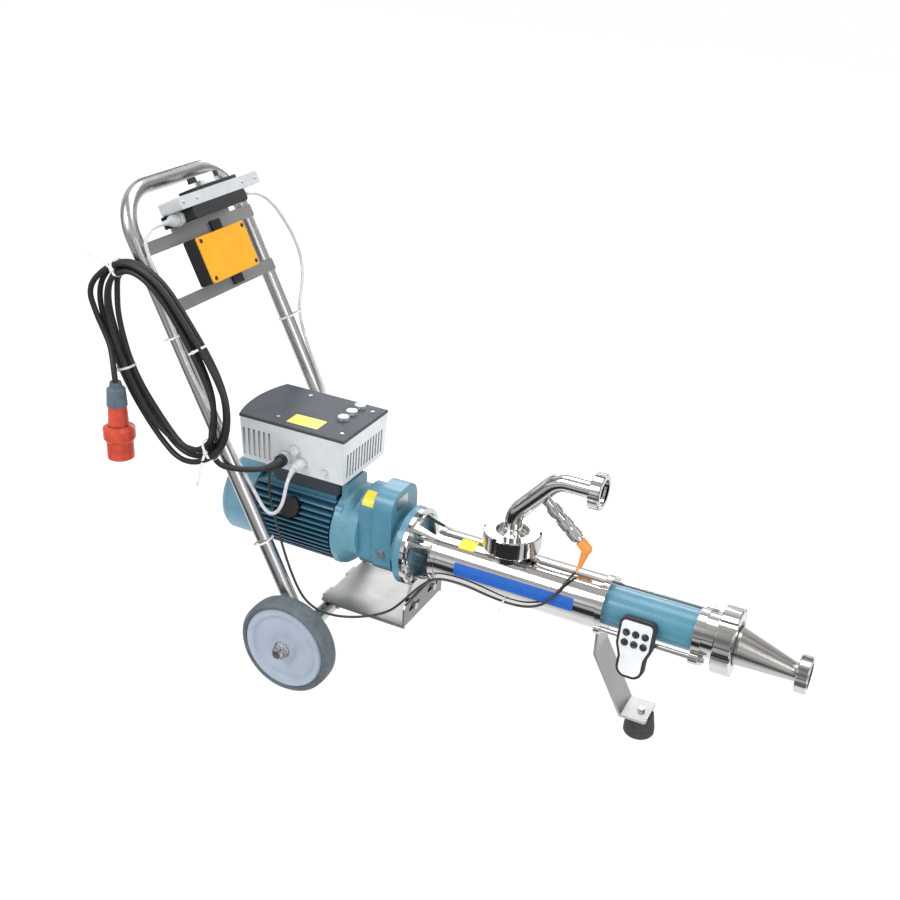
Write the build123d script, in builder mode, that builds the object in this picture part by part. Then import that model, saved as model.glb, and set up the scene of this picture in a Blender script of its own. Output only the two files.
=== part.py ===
from build123d import *
import os
from math import atan, cos, degrees, hypot, pi, radians, sin, tan

os.makedirs("parts", exist_ok=True)

# Trolley-mounted progressive cavity pump.
# Origin: on the floor under the centre of the front rubber foot.
# +X runs along the pump towards the discharge, +Z is up, -Y is the remote's side.
# Lengths are in millimetres.

# ---- Driving dimensions -------------------------------------------------

# heights and clearances
pump_z = 263.0
running_gap = 0.05
seat_gap = 0.3

# wheels and axle
wheel_d = 200.0
tyre_w = 44.0
tyre_inner_r = 86.0
track_half = 219.0
axle_x = -662.0
axle_shaft_r = 10.0
axle_tube_r = 15.0
axle_tube_half = 184.0
hub_half = 24.0
hub_r = 23.0
washer_t = 2.0
cap_nut_af = 26.0

# handle
tube_r = 15.0
tube_wall = 2.0
leg_half = 165.0
handle_len = 913.0
handle_bend = 84.0
handle_lean = 26.2
bar_w = 25.0
bar_t = 4.0
upper_bar_u = 801.0
lower_bar_u = 684.0

# base plate and front leg
plate_over_axle = 25.0
plate_top = wheel_d / 2 + plate_over_axle
plate_t = 4.0
plate_half = 82.0
plate_back = -672.0
plate_front = -479.0
plate_lip = 8.0
apron_h = 43.0
foot_r = 30.0
foot_top_r = 25.0
foot_h = 45.0
leg_w = 68.0
leg_t = 5.0

# drive
motor_z = 274.0
motor_core_r = 72.0
fin_r = 84.0
fin_t = 3.0
fin_pitch = 11.0
motor_back = -850.0
motor_front = -652.0
cowl_back = -920.0
cowl_r = 83.0
cowl_wall = 2.0
motor_shaft_r = 9.0
shield_front = -622.0
shield_r = 85.0
gear_back = -606.0
gear_front = -530.0
gear_half = 54.0
gear_bottom = 203.0
gear_top = 385.0
flange_r = 80.0
gear_flange_back = -512.0
gear_flange_front = -498.0
flange_pcd = 130.0
flange_bolt_r = 4.5

# inverter
inv_back = -860.0
inv_front = -621.0
inv_half = 85.0
inv_bottom = 400.0
inv_top = 499.0
inv_bulge = 17.0
lid_t = 6.0
inv_draft = 4.0
inv_wall = 9.0

# pump
lantern_front = -444.0
lantern_plate = 8.0
lantern_wall = 5.0
lantern_back_r = 68.0
housing_r = 52.0
housing_wall = 2.0
housing_plate = 8.0
housing_front = -94.0
end_ring_r = 55.0
end_ring_l = 12.0
shaft_r = 14.0
seal_r = 23.0
stator_r = 39.0
stator_wall = 3.0
stator_back = -90.0
stator_front = 84.0
rotor_d = 28.0
eccentricity = 5.0
rotor_pitch = 58.0
rotor_gap = 0.6
tie_r = 5.0
tie_pcr = 52.0
tie_angles = (25.0, -145.0)
shaft_end = -590.0
drive_head_back = -434.0
drive_head_front = -404.0
drive_head_r = 22.0
drive_ball_r = 13.7
rotor_head_back = -118.0
rotor_head_r = 17.0
rotor_ball_r = 11.0
rod_r = 8.0
helix_back = -86.0
rotor_front = 88.0
lining_front = 82.0

# discharge
discharge_t = 16.0
neck_r = 42.5
neck_wall = 2.0
neck_front = 134.0
seat_r = 50.0
big_nut_r = 63.5
big_nut_back = 122.0
big_nut_front = 156.0
cone_back = 162.0
cone_front = 262.0
small_r = 17.5
small_wall = 1.5
small_end = 283.0
cone_r = 35.0
cone_drop = 4.0
hose_nut_r = 35.0
hose_nut_l = 22.0
hose_seat = 7.0

# inlet
inlet_x = -296.0
stub_r = 35.0
stub_top = 334.0
inlet_nut_r = 56.0
inlet_nut_bottom = 326.0
inlet_nut_top = 362.0
elbow_low_z = 398.0
elbow_high_z = 491.0
elbow_high_x = -214.0
elbow_end_x = -131.0
elbow_bend = 50.0
sensor_along = 75.6
sensor_r = 12.0
boss_l = 13.0

# controls on the handle, in the handle's own plane: across, up, out
controls_y = 10.0
switch_y0 = -92.0
switch_y1 = 161.0
knob_y = 31.0
receiver_y0 = -68.0
receiver_y1 = 82.0
mount_out = bar_t + tube_r
switch_core0 = -64.0
switch_core1 = 104.0
switch_u0 = 822.0
switch_u1 = 870.0
switch_depth = 53.0
receiver_u0 = 697.0
receiver_u1 = 789.0
receiver_depth = 37.0

# remote
remote_x = -15.0
remote_tilt = 13.6
remote_w = 68.0
remote_h = 114.0
remote_drop = 48.0
remote_t = 17.0
magnet_t = 4.0
button_r = 6.6
button_rise = 2.5
button_travel = 1.5
button_y = 29.0
button_pitch_x = 18.0
button_pitch_y = 19.5

# cords
power_d = 11.0
lead_d = 7.0
sensor_d = 5.0
coil_y = -196.2
coil_w = 33.0
plug_x = -1036.0
plug_y = -236.0
plug_top = 579.0
plug_bottom = 421.0
plug_r = 31.0

# ---- Derived values and helpers -----------------------------------------

lantern_front_r = 54.0
lantern_foot_t = 8.0
foot_back = plate_front - plate_t - lantern_foot_t
inlet_seat_r = 45.0
inlet_collar_r = 33.0
sensor_share = sensor_along / hypot(elbow_high_x - inlet_x, elbow_high_z - elbow_low_z)
axle_z = wheel_d / 2
lean = radians(handle_lean)
stator_in_r = stator_r - stator_wall
bore_r = axle_shaft_r + running_gap
cone_z = pump_z - cone_drop
reducer_z = cone_z - (cone_r - small_r)
inv_body_top = inv_top - lid_t
handle_plane = Plane(origin=(axle_x, 0, axle_z), x_dir=(0, 1, 0), z_dir=(cos(lean), 0, sin(lean)))


def on_handle(y, u, n=0.0):
    """Point in the row frame, from across, up and out of the handle's plane."""
    return (axle_x - u * sin(lean) + n * cos(lean), y, axle_z + u * cos(lean) + n * sin(lean))


def turn_x(profile, z=pump_z, y=0.0, mode=Mode.ADD):
    """Turn an (x, radius) profile about an axis along X."""
    with BuildSketch(Plane.XZ.offset(-y)) as section:
        with BuildLine():
            Polyline(*[(x, z + r) for x, r in profile], close=True)
        make_face()
    revolve(section.sketch, axis=Axis((0, y, z), (1, 0, 0)), mode=mode)


def turn_z(profile, x=0.0, y=0.0, mode=Mode.ADD):
    """Turn a (z, radius) profile about an upright axis."""
    with BuildSketch(Plane.XZ.offset(-y)) as section:
        with BuildLine():
            Polyline(*[(x + r, z) for z, r in profile], close=True)
        make_face()
    revolve(section.sketch, axis=Axis((x, y, 0), (0, 0, 1)), mode=mode)


def disc_x(x0, x1, r, z=pump_z, y=0.0, mode=Mode.ADD):
    """A plain cylinder along X between two stations."""
    with BuildSketch(Plane.YZ.offset(x0)) as section:
        with Locations((y, z)):
            Circle(r)
    extrude(section.sketch, amount=x1 - x0, mode=mode)


def block(x0, x1, y0, y1, z0, z1, mode=Mode.ADD):
    """A rectangular block between six faces."""
    with Locations(((x0 + x1) / 2, (y0 + y1) / 2, (z0 + z1) / 2)):
        Box(abs(x1 - x0), abs(y1 - y0), abs(z1 - z0), mode=mode)


def slot_ring(count, r, depth, width, x0, x1, z=pump_z, y=0.0):
    """Cut spanner slots around a round nut that lies along X."""
    with BuildSketch(Plane.YZ.offset(x0)) as slots:
        with Locations((y, z)):
            with PolarLocations(r, count):
                Rectangle(2 * depth, width)
    extrude(slots.sketch, amount=x1 - x0, mode=Mode.SUBTRACT)


def cord_radii(points):
    """Largest arc that two neighbouring runs allow at each corner."""
    radii = []
    for before, here, after in zip(points, points[1:], points[2:]):
        a = Vector(*here) - Vector(*before)
        b = Vector(*after) - Vector(*here)
        turn = radians(a.get_angle(b))
        radii.append(0.45 * min(a.length, b.length) / tan(turn / 2))
    return radii


def cord_tube(points, diameter, name):
    """A cord of straight runs and tangent arcs along its route."""
    radii = cord_radii(points)
    with BuildLine() as route:
        FilletPolyline(*points, radius=radii)
    wire = route.wires()[0]
    with BuildPart() as tube:
        with BuildSketch(Plane(origin=wire @ 0, z_dir=wire % 0)):
            Circle(diameter / 2)
        sweep(path=wire)
    expected = pi * diameter**2 / 4 * wire.length
    print(name, "length", round(wire.length), "radii", [round(r) for r in radii])
    print(name, "volume over section x length", round(tube.part.volume / expected, 4))
    return tube.part


def save(part, label):
    """Label one finished piece and write it."""
    part.label = label
    export_step(part, f"parts/{label}.step")


# ---- Trolley ------------------------------------------------------------

# The axle: a tube between the wheels with a turned stub at each end.
stub_end = track_half + hub_half + running_gap * 10 + washer_t + 14
with BuildPart() as axle:
    with BuildSketch(Plane.XZ.offset(-stub_end)):
        with Locations((axle_x, axle_z)):
            Circle(axle_shaft_r)
    extrude(amount=2 * stub_end)
    with BuildSketch(Plane.XZ.offset(-axle_tube_half)):
        with Locations((axle_x, axle_z)):
            Circle(axle_tube_r)
    extrude(amount=2 * axle_tube_half)
    chamfer(axle.faces().sort_by(Axis.Y)[0].edges(), 1.5)
    chamfer(axle.faces().sort_by(Axis.Y)[-1].edges(), 1.5)
save(axle.part, "axle")

# Chrome cap nuts with a washer under each.
nut_base = track_half + hub_half + 0.5
with BuildPart() as axle_cap_nuts:
    for side in (-1, 1):
        with BuildSketch(Plane.XZ.offset(-side * nut_base)):
            with Locations((axle_x, axle_z)):
                Circle(17.0)
                Circle(axle_shaft_r, mode=Mode.SUBTRACT)
        extrude(amount=-side * washer_t)
        with BuildSketch(Plane.XZ.offset(-side * (nut_base + washer_t))):
            with Locations((axle_x, axle_z)):
                RegularPolygon(cap_nut_af / 2, 6, major_radius=False)
        extrude(amount=-side * 11.0)
        with BuildSketch(Plane.XZ.offset(-side * (nut_base + washer_t + 11.0))):
            with Locations((axle_x, axle_z)):
                Circle(cap_nut_af / 2 - 1.0)
        extrude(amount=-side * 7.0, taper=24)
    with BuildSketch(Plane.XZ.offset(-stub_end)):
        with Locations((axle_x, axle_z)):
            Circle(axle_shaft_r)
    extrude(amount=2 * stub_end, mode=Mode.SUBTRACT)
save(axle_cap_nuts.part, "axle_cap_nuts")

# Two wheels: a moulded rim that runs on the axle, and a solid tyre.
for side, hand in ((-1, "right"), (1, "left")):
    wheel_y = side * track_half
    wheel_axis = Axis((axle_x, wheel_y, axle_z), (0, 1, 0))
    with BuildPart() as rim:
        with BuildSketch(Plane.YZ.offset(axle_x)):
            with BuildLine():
                Polyline(
                    (wheel_y - hub_half, axle_z + bore_r),
                    (wheel_y - hub_half, axle_z + hub_r),
                    (wheel_y - 14, axle_z + hub_r + 5),
                    (wheel_y - 14, axle_z + 68),
                    (wheel_y - 20, axle_z + 73),
                    (wheel_y - 22, axle_z + tyre_inner_r - 3),
                    (wheel_y - 18, axle_z + tyre_inner_r),
                    (wheel_y + 18, axle_z + tyre_inner_r),
                    (wheel_y + 22, axle_z + tyre_inner_r - 3),
                    (wheel_y + 20, axle_z + 73),
                    (wheel_y + 14, axle_z + 68),
                    (wheel_y + 14, axle_z + hub_r + 5),
                    (wheel_y + hub_half, axle_z + hub_r),
                    (wheel_y + hub_half, axle_z + bore_r),
                    close=True,
                )
            make_face()
        revolve(axis=wheel_axis)
    save(rim.part, f"{hand}_rim")
    with BuildPart() as tyre:
        with BuildSketch(Plane.YZ.offset(axle_x)):
            with BuildLine():
                Polyline(
                    (wheel_y - 18, axle_z + tyre_inner_r),
                    (wheel_y - tyre_w / 2, axle_z + tyre_inner_r + 4),
                    (wheel_y - tyre_w / 2, axle_z + wheel_d / 2 - 7),
                    (wheel_y - tyre_w / 2 + 7, axle_z + wheel_d / 2 - 1),
                )
                ThreePointArc(
                    (wheel_y - tyre_w / 2 + 7, axle_z + wheel_d / 2 - 1),
                    (wheel_y, axle_z + wheel_d / 2),
                    (wheel_y + tyre_w / 2 - 7, axle_z + wheel_d / 2 - 1),
                )
                Polyline(
                    (wheel_y + tyre_w / 2 - 7, axle_z + wheel_d / 2 - 1),
                    (wheel_y + tyre_w / 2, axle_z + wheel_d / 2 - 7),
                    (wheel_y + tyre_w / 2, axle_z + tyre_inner_r + 4),
                    (wheel_y + 18, axle_z + tyre_inner_r),
                    (wheel_y - 18, axle_z + tyre_inner_r),
                )
            make_face()
        revolve(axis=wheel_axis)
    save(tyre.part, f"{hand}_tyre")

# The push handle: one bent tube whose ends are coped to the axle tube.
with BuildPart() as handle_tube:
    with BuildLine(handle_plane) as handle_path:
        FilletPolyline(
            (-leg_half, 0),
            (-leg_half, handle_len),
            (leg_half, handle_len),
            (leg_half, 0),
            radius=handle_bend,
        )
    with BuildSketch(Plane(origin=handle_path.line @ 0, z_dir=handle_path.line % 0)):
        Circle(tube_r)
        Circle(tube_r - tube_wall, mode=Mode.SUBTRACT)
    sweep(path=handle_path.line)
    with BuildSketch(Plane.XZ.offset(-axle_tube_half)):
        with Locations((axle_x, axle_z)):
            Circle(axle_tube_r)
    extrude(amount=2 * axle_tube_half, mode=Mode.SUBTRACT)
save(handle_tube.part, "handle_tube")

# Flat bars across the front of the legs, with an upright mounting plate on the upper one.
with BuildPart() as handle_bars:
    with BuildSketch(handle_plane.offset(tube_r)):
        with Locations((0, upper_bar_u), (0, lower_bar_u)):
            RectangleRounded(2 * leg_half + 10, bar_w, 4)
        with Locations((controls_y, (upper_bar_u + switch_u1) / 2)):
            Rectangle(180, switch_u1 - upper_bar_u - 8)
    extrude(amount=bar_t)
save(handle_bars.part, "handle_bars")

# The base plate: folded down at both sides and up at the front, slotted for the lantern's foot.
slot_z = plate_top + 25
with BuildPart() as base_plate:
    block(plate_back, plate_front, -plate_half, plate_half, plate_top - plate_t, plate_top)
    for side in (-1, 1):
        block(
            plate_back + 40,
            plate_front,
            side * plate_half,
            side * (plate_half - plate_t),
            plate_top - plate_lip,
            plate_top - plate_t,
        )
    block(plate_front - plate_t, plate_front, -plate_half, plate_half, plate_top, plate_top + apron_h)
    for side in (-1, 1):
        block(axle_x - 19, axle_x + 19, side * 30, side * 62, axle_z - 4, plate_top - plate_t)
    with BuildSketch(Plane.XZ.offset(-plate_half)):
        with Locations((axle_x, axle_z)):
            Circle(axle_tube_r)
    extrude(amount=2 * plate_half, mode=Mode.SUBTRACT)
    with BuildSketch(Plane.YZ.offset(plate_front - plate_t)):
        with Locations((-40, slot_z), (40, slot_z)):
            SlotOverall(44, 9)
    extrude(amount=plate_t, mode=Mode.SUBTRACT)
    chamfer(base_plate.edges().filter_by(Axis.X).group_by(Axis.Z)[-1], 6)
save(base_plate.part, "base_plate")

# The front leg: a flat bar bent from the housing's end ring to a tab over the foot.
tab_top = foot_h + leg_t
with BuildPart() as front_leg:
    with BuildSketch(Plane.XZ.offset(-leg_w / 2)):
        with BuildLine():
            Polyline(
                (housing_front, pump_z - 30),
                (housing_front, 168),
                (-31, tab_top),
                (19, tab_top),
                (19, foot_h),
                (-34, foot_h),
                (housing_front - leg_t, 166),
                (housing_front - leg_t, pump_z - 30),
                close=True,
            )
        make_face()
    extrude(amount=leg_w)
    disc_x(housing_front - 20, housing_front + 20, end_ring_r, mode=Mode.SUBTRACT)
    with BuildSketch(Plane.XY.offset(foot_h)):
        Circle(4.2)
    extrude(amount=leg_t, mode=Mode.SUBTRACT)
    fillet(front_leg.edges().filter_by(Axis.Z).sort_by(Axis.X)[-2:], 5)
save(front_leg.part, "front_leg")

# The rubber foot, with a recess underneath.
with BuildPart() as rubber_foot:
    turn_z([(0, 0), (0, foot_r - 2), (3, foot_r), (14, foot_r), (foot_h, foot_top_r), (foot_h, 0)])
    with BuildSketch(Plane.XY.offset(foot_h - 22)):
        Circle(4.0)
    extrude(amount=22, mode=Mode.SUBTRACT)
save(rubber_foot.part, "rubber_foot")

# Bolts of the trolley: one into the foot, two through the slotted apron and the lantern's foot.
bolt_y = 40.0
with BuildPart() as frame_bolts:
    with BuildSketch(Plane.XY.offset(foot_h - 20)):
        Circle(4.0)
    extrude(amount=20 + leg_t)
    with BuildSketch(Plane.XY.offset(tab_top)):
        RegularPolygon(6.5, 6, major_radius=False)
    extrude(amount=5.5)
    with BuildSketch(Plane.YZ.offset(plate_front)):
        with Locations((-bolt_y, slot_z), (bolt_y, slot_z)):
            RegularPolygon(6.5, 6, major_radius=False)
    extrude(amount=5.5)
    with BuildSketch(Plane.YZ.offset(foot_back - 7)):
        with Locations((-bolt_y, slot_z), (bolt_y, slot_z)):
            Circle(4.0)
    extrude(amount=plate_front - foot_back + 7)
    with BuildSketch(Plane.YZ.offset(foot_back - 6)):
        with Locations((-bolt_y, slot_z), (bolt_y, slot_z)):
            RegularPolygon(6.5, 6, major_radius=False)
            Circle(4.0, mode=Mode.SUBTRACT)
    extrude(amount=6)

# ---- Drive --------------------------------------------------------------

# The motor housing: a cylinder with level cooling fins, and a top pad.
side_fins = 13
cap_lean = radians(28)
cap_plane = Plane(origin=(-750, 0, motor_z), x_dir=(1, 0, 0), z_dir=(0, -cos(cap_lean), sin(cap_lean)))
with BuildPart() as motor_housing:
    disc_x(motor_back, motor_front, motor_core_r, motor_z)
    with BuildSketch(Plane.YZ.offset(motor_back + 6)):
        with Locations((0, motor_z)):
            with GridLocations(1, fin_pitch, 1, side_fins):
                Rectangle(4 * fin_r, fin_t)
        with Locations((0, motor_z - fin_r + 14)):
            with GridLocations(fin_pitch, 1, 5, 1):
                Rectangle(fin_t, 28)
        with Locations((0, motor_z)):
            Circle(fin_r, mode=Mode.INTERSECT)
    extrude(amount=motor_front - motor_back - 10)
    block(motor_back + 30, motor_front - 8, -48, 48, motor_z, motor_z + 80)
    disc_x(motor_back, motor_front, motor_shaft_r + running_gap, motor_z, mode=Mode.SUBTRACT)
    with BuildSketch(cap_plane.offset(motor_core_r - 4)):
        Circle(16)
    extrude(amount=40, mode=Mode.SUBTRACT)
    with BuildSketch(cap_plane.offset(motor_core_r + 6)):
        Circle(22.5)
    extrude(amount=40, mode=Mode.SUBTRACT)
save(motor_housing.part, "motor_housing")

# The shaft through the motor, which also carries the fan.
shaft_back = cowl_back + 14
with BuildPart() as motor_shaft:
    disc_x(shaft_back, gear_back - 2, motor_shaft_r, motor_z)
save(motor_shaft.part, "motor_shaft")

# The fan: a hub, a back disc and straight blades.
fan_front = motor_back - 6
with BuildPart() as motor_fan:
    turn_x(
        [
            (shaft_back + 2, motor_shaft_r),
            (shaft_back + 2, 20),
            (fan_front - 6, 24),
            (fan_front - 6, 66),
            (fan_front - 3, 66),
            (fan_front - 3, motor_shaft_r),
        ],
        motor_z,
    )
    with BuildSketch(Plane.YZ.offset(fan_front - 28)) as blades:
        with Locations((0, motor_z)):
            with PolarLocations(44, 7):
                Rectangle(44, 3)
    extrude(blades.sketch, amount=22)
save(motor_fan.part, "motor_fan")

# The fan cowl: a drawn cover with ringed air slots in its back.
with BuildPart() as fan_cowl:
    turn_x(
        [
            (cowl_back, 0),
            (cowl_back, cowl_r - 14),
            (cowl_back + 4, cowl_r - 5),
            (cowl_back + 12, cowl_r),
            (motor_back + 4, cowl_r),
            (motor_back + 4, cowl_r - cowl_wall),
            (cowl_back + 13, cowl_r - cowl_wall),
            (cowl_back + 5, cowl_r - 8),
            (cowl_back + cowl_wall, cowl_r - 15),
            (cowl_back + cowl_wall, 0),
        ],
        motor_z,
    )
    with BuildSketch(Plane.YZ.offset(cowl_back)):
        with Locations((0, motor_z)):
            for ring_r, count in ((22, 6), (38, 10), (54, 14)):
                with PolarLocations(ring_r, count):
                    SlotOverall(11, 5)
    extrude(amount=cowl_wall, mode=Mode.SUBTRACT)
    turn_x(
        [
            (motor_back, motor_core_r),
            (motor_back, cowl_r - cowl_wall),
            (motor_back + 4, cowl_r - cowl_wall),
            (motor_back + 4, motor_core_r),
        ],
        motor_z,
    )
save(fan_cowl.part, "fan_cowl")

# The end shield that joins the motor to the gearbox, with four clamp ears and a top pad.
with BuildPart() as end_shield:
    turn_x(
        [
            (motor_front, motor_shaft_r + running_gap),
            (motor_front, shield_r),
            (motor_front + 12, shield_r),
            (motor_front + 20, shield_r - 6),
            (shield_front, 68),
            (gear_back, 64),
            (gear_back, motor_shaft_r + running_gap),
        ],
        motor_z,
    )
    with BuildSketch(Plane.YZ.offset(motor_front)):
        with Locations((0, motor_z)):
            with PolarLocations(shield_r - 8, 4, start_angle=45):
                Circle(11)
            with Locations((0, 85)):
                RectangleRounded(76, 42, 14)
            Circle(motor_shaft_r + 20, mode=Mode.SUBTRACT)
    extrude(amount=14)
save(end_shield.part, "end_shield")

# The round cap on the motor's side, a separate black moulding.
with BuildPart() as vent_cap:
    with BuildSketch(cap_plane.offset(motor_core_r - 4)):
        Circle(16)
    extrude(amount=10)
    with BuildSketch(cap_plane.offset(motor_core_r + 6)):
        Circle(22)
        with PolarLocations(22, 16):
            Circle(1.6, mode=Mode.SUBTRACT)
    extrude(amount=14)

# The gearbox: a cast case with a raised front half and a round output side.
gear_mid = -572.0
with BuildPart() as gearbox:
    with BuildSketch(Plane.YZ.offset(gear_mid)):
        with Locations((0, (gear_bottom + gear_top) / 2)):
            RectangleRounded(2 * gear_half, gear_top - gear_bottom, 38)
    extrude(amount=gear_front - gear_mid)
    with BuildSketch(Plane.YZ.offset(gear_back)):
        with Locations((0, (gear_bottom + gear_top) / 2 - 6)):
            RectangleRounded(2 * gear_half - 8, gear_top - gear_bottom - 16, 36)
    extrude(amount=gear_mid - gear_back)
    turn_x(
        [
            (gear_front, 0),
            (gear_front, 55),
            (gear_flange_back, 55),
            (gear_flange_back, flange_r),
            (gear_flange_front, flange_r),
            (gear_flange_front, 0),
        ]
    )
    disc_x(gear_back + 10, gear_flange_front, shaft_r + running_gap, mode=Mode.SUBTRACT)
    disc_x(gear_back, gear_back + 8, motor_shaft_r + 1, motor_z, mode=Mode.SUBTRACT)
    with BuildSketch(Plane.YZ.offset(gear_flange_back)):
        with Locations((0, pump_z)):
            with PolarLocations(flange_pcd / 2, 4, start_angle=45):
                Circle(flange_bolt_r)
    extrude(amount=gear_flange_front - gear_flange_back, mode=Mode.SUBTRACT)
save(gearbox.part, "gearbox")

# Oil plugs on the gearbox and bolts through the flange joint, kept with the trolley's bolts.
flange_back_stack = gear_flange_back
flange_front_stack = gear_flange_front + lantern_plate
with BuildPart() as bolts:
    add(frame_bolts.part)
    for side in (-1, 1):
        with BuildSketch(Plane.XZ.offset(-side * gear_half)):
            with Locations((-551, gear_bottom + 52)):
                RegularPolygon(8, 6, major_radius=False)
        extrude(amount=-side * 6)
    with BuildSketch(Plane.YZ.offset(flange_back_stack - 6)):
        with Locations((0, pump_z)):
            with PolarLocations(flange_pcd / 2, 4, start_angle=45):
                RegularPolygon(6.5, 6, major_radius=False)
    extrude(amount=6)
    with BuildSketch(Plane.YZ.offset(flange_back_stack)):
        with Locations((0, pump_z)):
            with PolarLocations(flange_pcd / 2, 4, start_angle=45):
                Circle(4.0)
    extrude(amount=flange_front_stack - flange_back_stack + 7)
    with BuildSketch(Plane.YZ.offset(flange_front_stack)):
        with Locations((0, pump_z)):
            with PolarLocations(flange_pcd / 2, 4, start_angle=45):
                RegularPolygon(6.5, 6, major_radius=False)
    extrude(amount=5.5)
save(bolts.part, "bolts")

# ---- Inverter on the motor ----------------------------------------------

inv_mid_x = (inv_back + inv_front) / 2
base_front = -655.0
with BuildPart() as inverter_base:
    with BuildSketch(Plane.XY.offset(motor_z + 80)):
        with Locations((base_front - 75, 0)):
            RectangleRounded(150, 104, 12)
    with BuildSketch(Plane.XY.offset(inv_bottom)):
        with Locations((base_front - 85, 0)):
            RectangleRounded(170, 126, 16)
    loft()
save(inverter_base.part, "inverter_base")


def inverter_outline(shrink):
    """Plan of the inverter case: square front, bowed back."""
    back, front, half = inv_back + shrink, inv_front - shrink, inv_half - shrink
    with BuildLine() as outline:
        Polyline((back, half), (front, half), (front, -half), (back, -half))
        ThreePointArc((back, -half), (back - inv_bulge, 0), (back, half))
    return outline.edges()


# The case tapers towards the motor; upright slots and fins are cut in its sides.
with BuildPart() as inverter_body:
    with BuildSketch(Plane.XY.offset(inv_body_top)):
        make_face(inverter_outline(0))
    extrude(amount=-(inv_body_top - inv_bottom), taper=degrees(atan(inv_draft / (inv_body_top - inv_bottom))))
    with BuildSketch(Plane.XY.offset(inv_body_top)):
        make_face(inverter_outline(inv_wall))
    extrude(amount=-(inv_body_top - inv_bottom - inv_wall), mode=Mode.SUBTRACT)
    with BuildSketch(Plane.XZ.offset(inv_half)):
        with Locations((-822, (inv_bottom + inv_body_top) / 2 - 6)):
            with GridLocations(12, 1, 6, 1):
                SlotOverall(60, 6, rotation=90)
    extrude(amount=-5, mode=Mode.SUBTRACT)
    with BuildSketch(Plane.XZ.offset(-inv_half)):
        with Locations((-822, (inv_bottom + inv_body_top) / 2 - 6)):
            with GridLocations(12, 1, 6, 1):
                SlotOverall(60, 6, rotation=90)
    extrude(amount=5, mode=Mode.SUBTRACT)
    with BuildSketch(Plane.YZ.offset(inv_front)):
        with Locations((0, (inv_bottom + inv_body_top) / 2 - 10)):
            with GridLocations(11, 1, 13, 1):
                SlotOverall(52, 5, rotation=90)
    extrude(amount=-6, mode=Mode.SUBTRACT)
save(inverter_body.part, "inverter_body")

with BuildPart() as inverter_lid:
    with BuildSketch(Plane.XY.offset(inv_body_top)):
        make_face(inverter_outline(-1))
    extrude(amount=lid_t)
    chamfer(inverter_lid.faces().sort_by(Axis.Z)[-1].edges(), 1.5)
save(inverter_lid.part, "inverter_lid")

# Three round clear caps in a row, and the lid's four screws.
cap_x, cap_y0, cap_pitch = -673.0, 33.0, 33.0
with BuildPart() as lid_caps:
    with BuildSketch(Plane.XY.offset(inv_top)):
        with Locations((cap_x, cap_y0)):
            with GridLocations(1, cap_pitch, 1, 3):
                Circle(12)
                RegularPolygon(13, 8, major_radius=True)
    extrude(amount=6, taper=10)
    with BuildSketch(Plane.XY.offset(inv_top)):
        with Locations((inv_mid_x + 27, 0)):
            with GridLocations(146, 118, 2, 2):
                Circle(4)
    extrude(amount=1.5)
save(lid_caps.part, "lid_caps")

# Cable glands: (x, z, side, thread radius, length, cord radius) on the sides, two underneath.
gland_len = 32.0
side_glands = (
    (-754.0, 428.0, -1, 12.0, power_d / 2),
    (-717.0, 425.0, -1, 9.0, lead_d / 2),
    (-800.0, 428.0, 1, 9.0, lead_d / 2),
)
under_gland = (-800.0, -72.0)
wall_at = inv_half - 3.0
with BuildPart() as cable_glands:
    add(vent_cap.part)
    for gx, gz, side, gr, cord_r in side_glands:
        for start, stop, shape_r, sides in (
            (wall_at, wall_at + 10, gr + 3, 6),
            (wall_at + 10, wall_at + 24, gr + 1, 12),
        ):
            with BuildSketch(Plane.XZ.offset(-side * start)):
                with Locations((gx, gz)):
                    RegularPolygon(shape_r, sides)
            extrude(amount=-side * (stop - start))
        with BuildSketch(Plane.XZ.offset(-side * (wall_at + 24))):
            with Locations((gx, gz)):
                Circle(gr - 1)
        extrude(amount=-side * (gland_len - 24), taper=14)
    with BuildSketch(Plane.XZ.offset(wall_at)):
        with Locations((-731, 450)):
            RegularPolygon(10, 6)
        with Locations((-665, 418)):
            RegularPolygon(6, 6)
    extrude(amount=9)
    with BuildSketch(Plane.XY.offset(inv_bottom)):
        with Locations(under_gland):
            RegularPolygon(9, 6)
    extrude(amount=-14)
save(cable_glands.part, "cable_glands")

# ---- Pump ---------------------------------------------------------------

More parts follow.
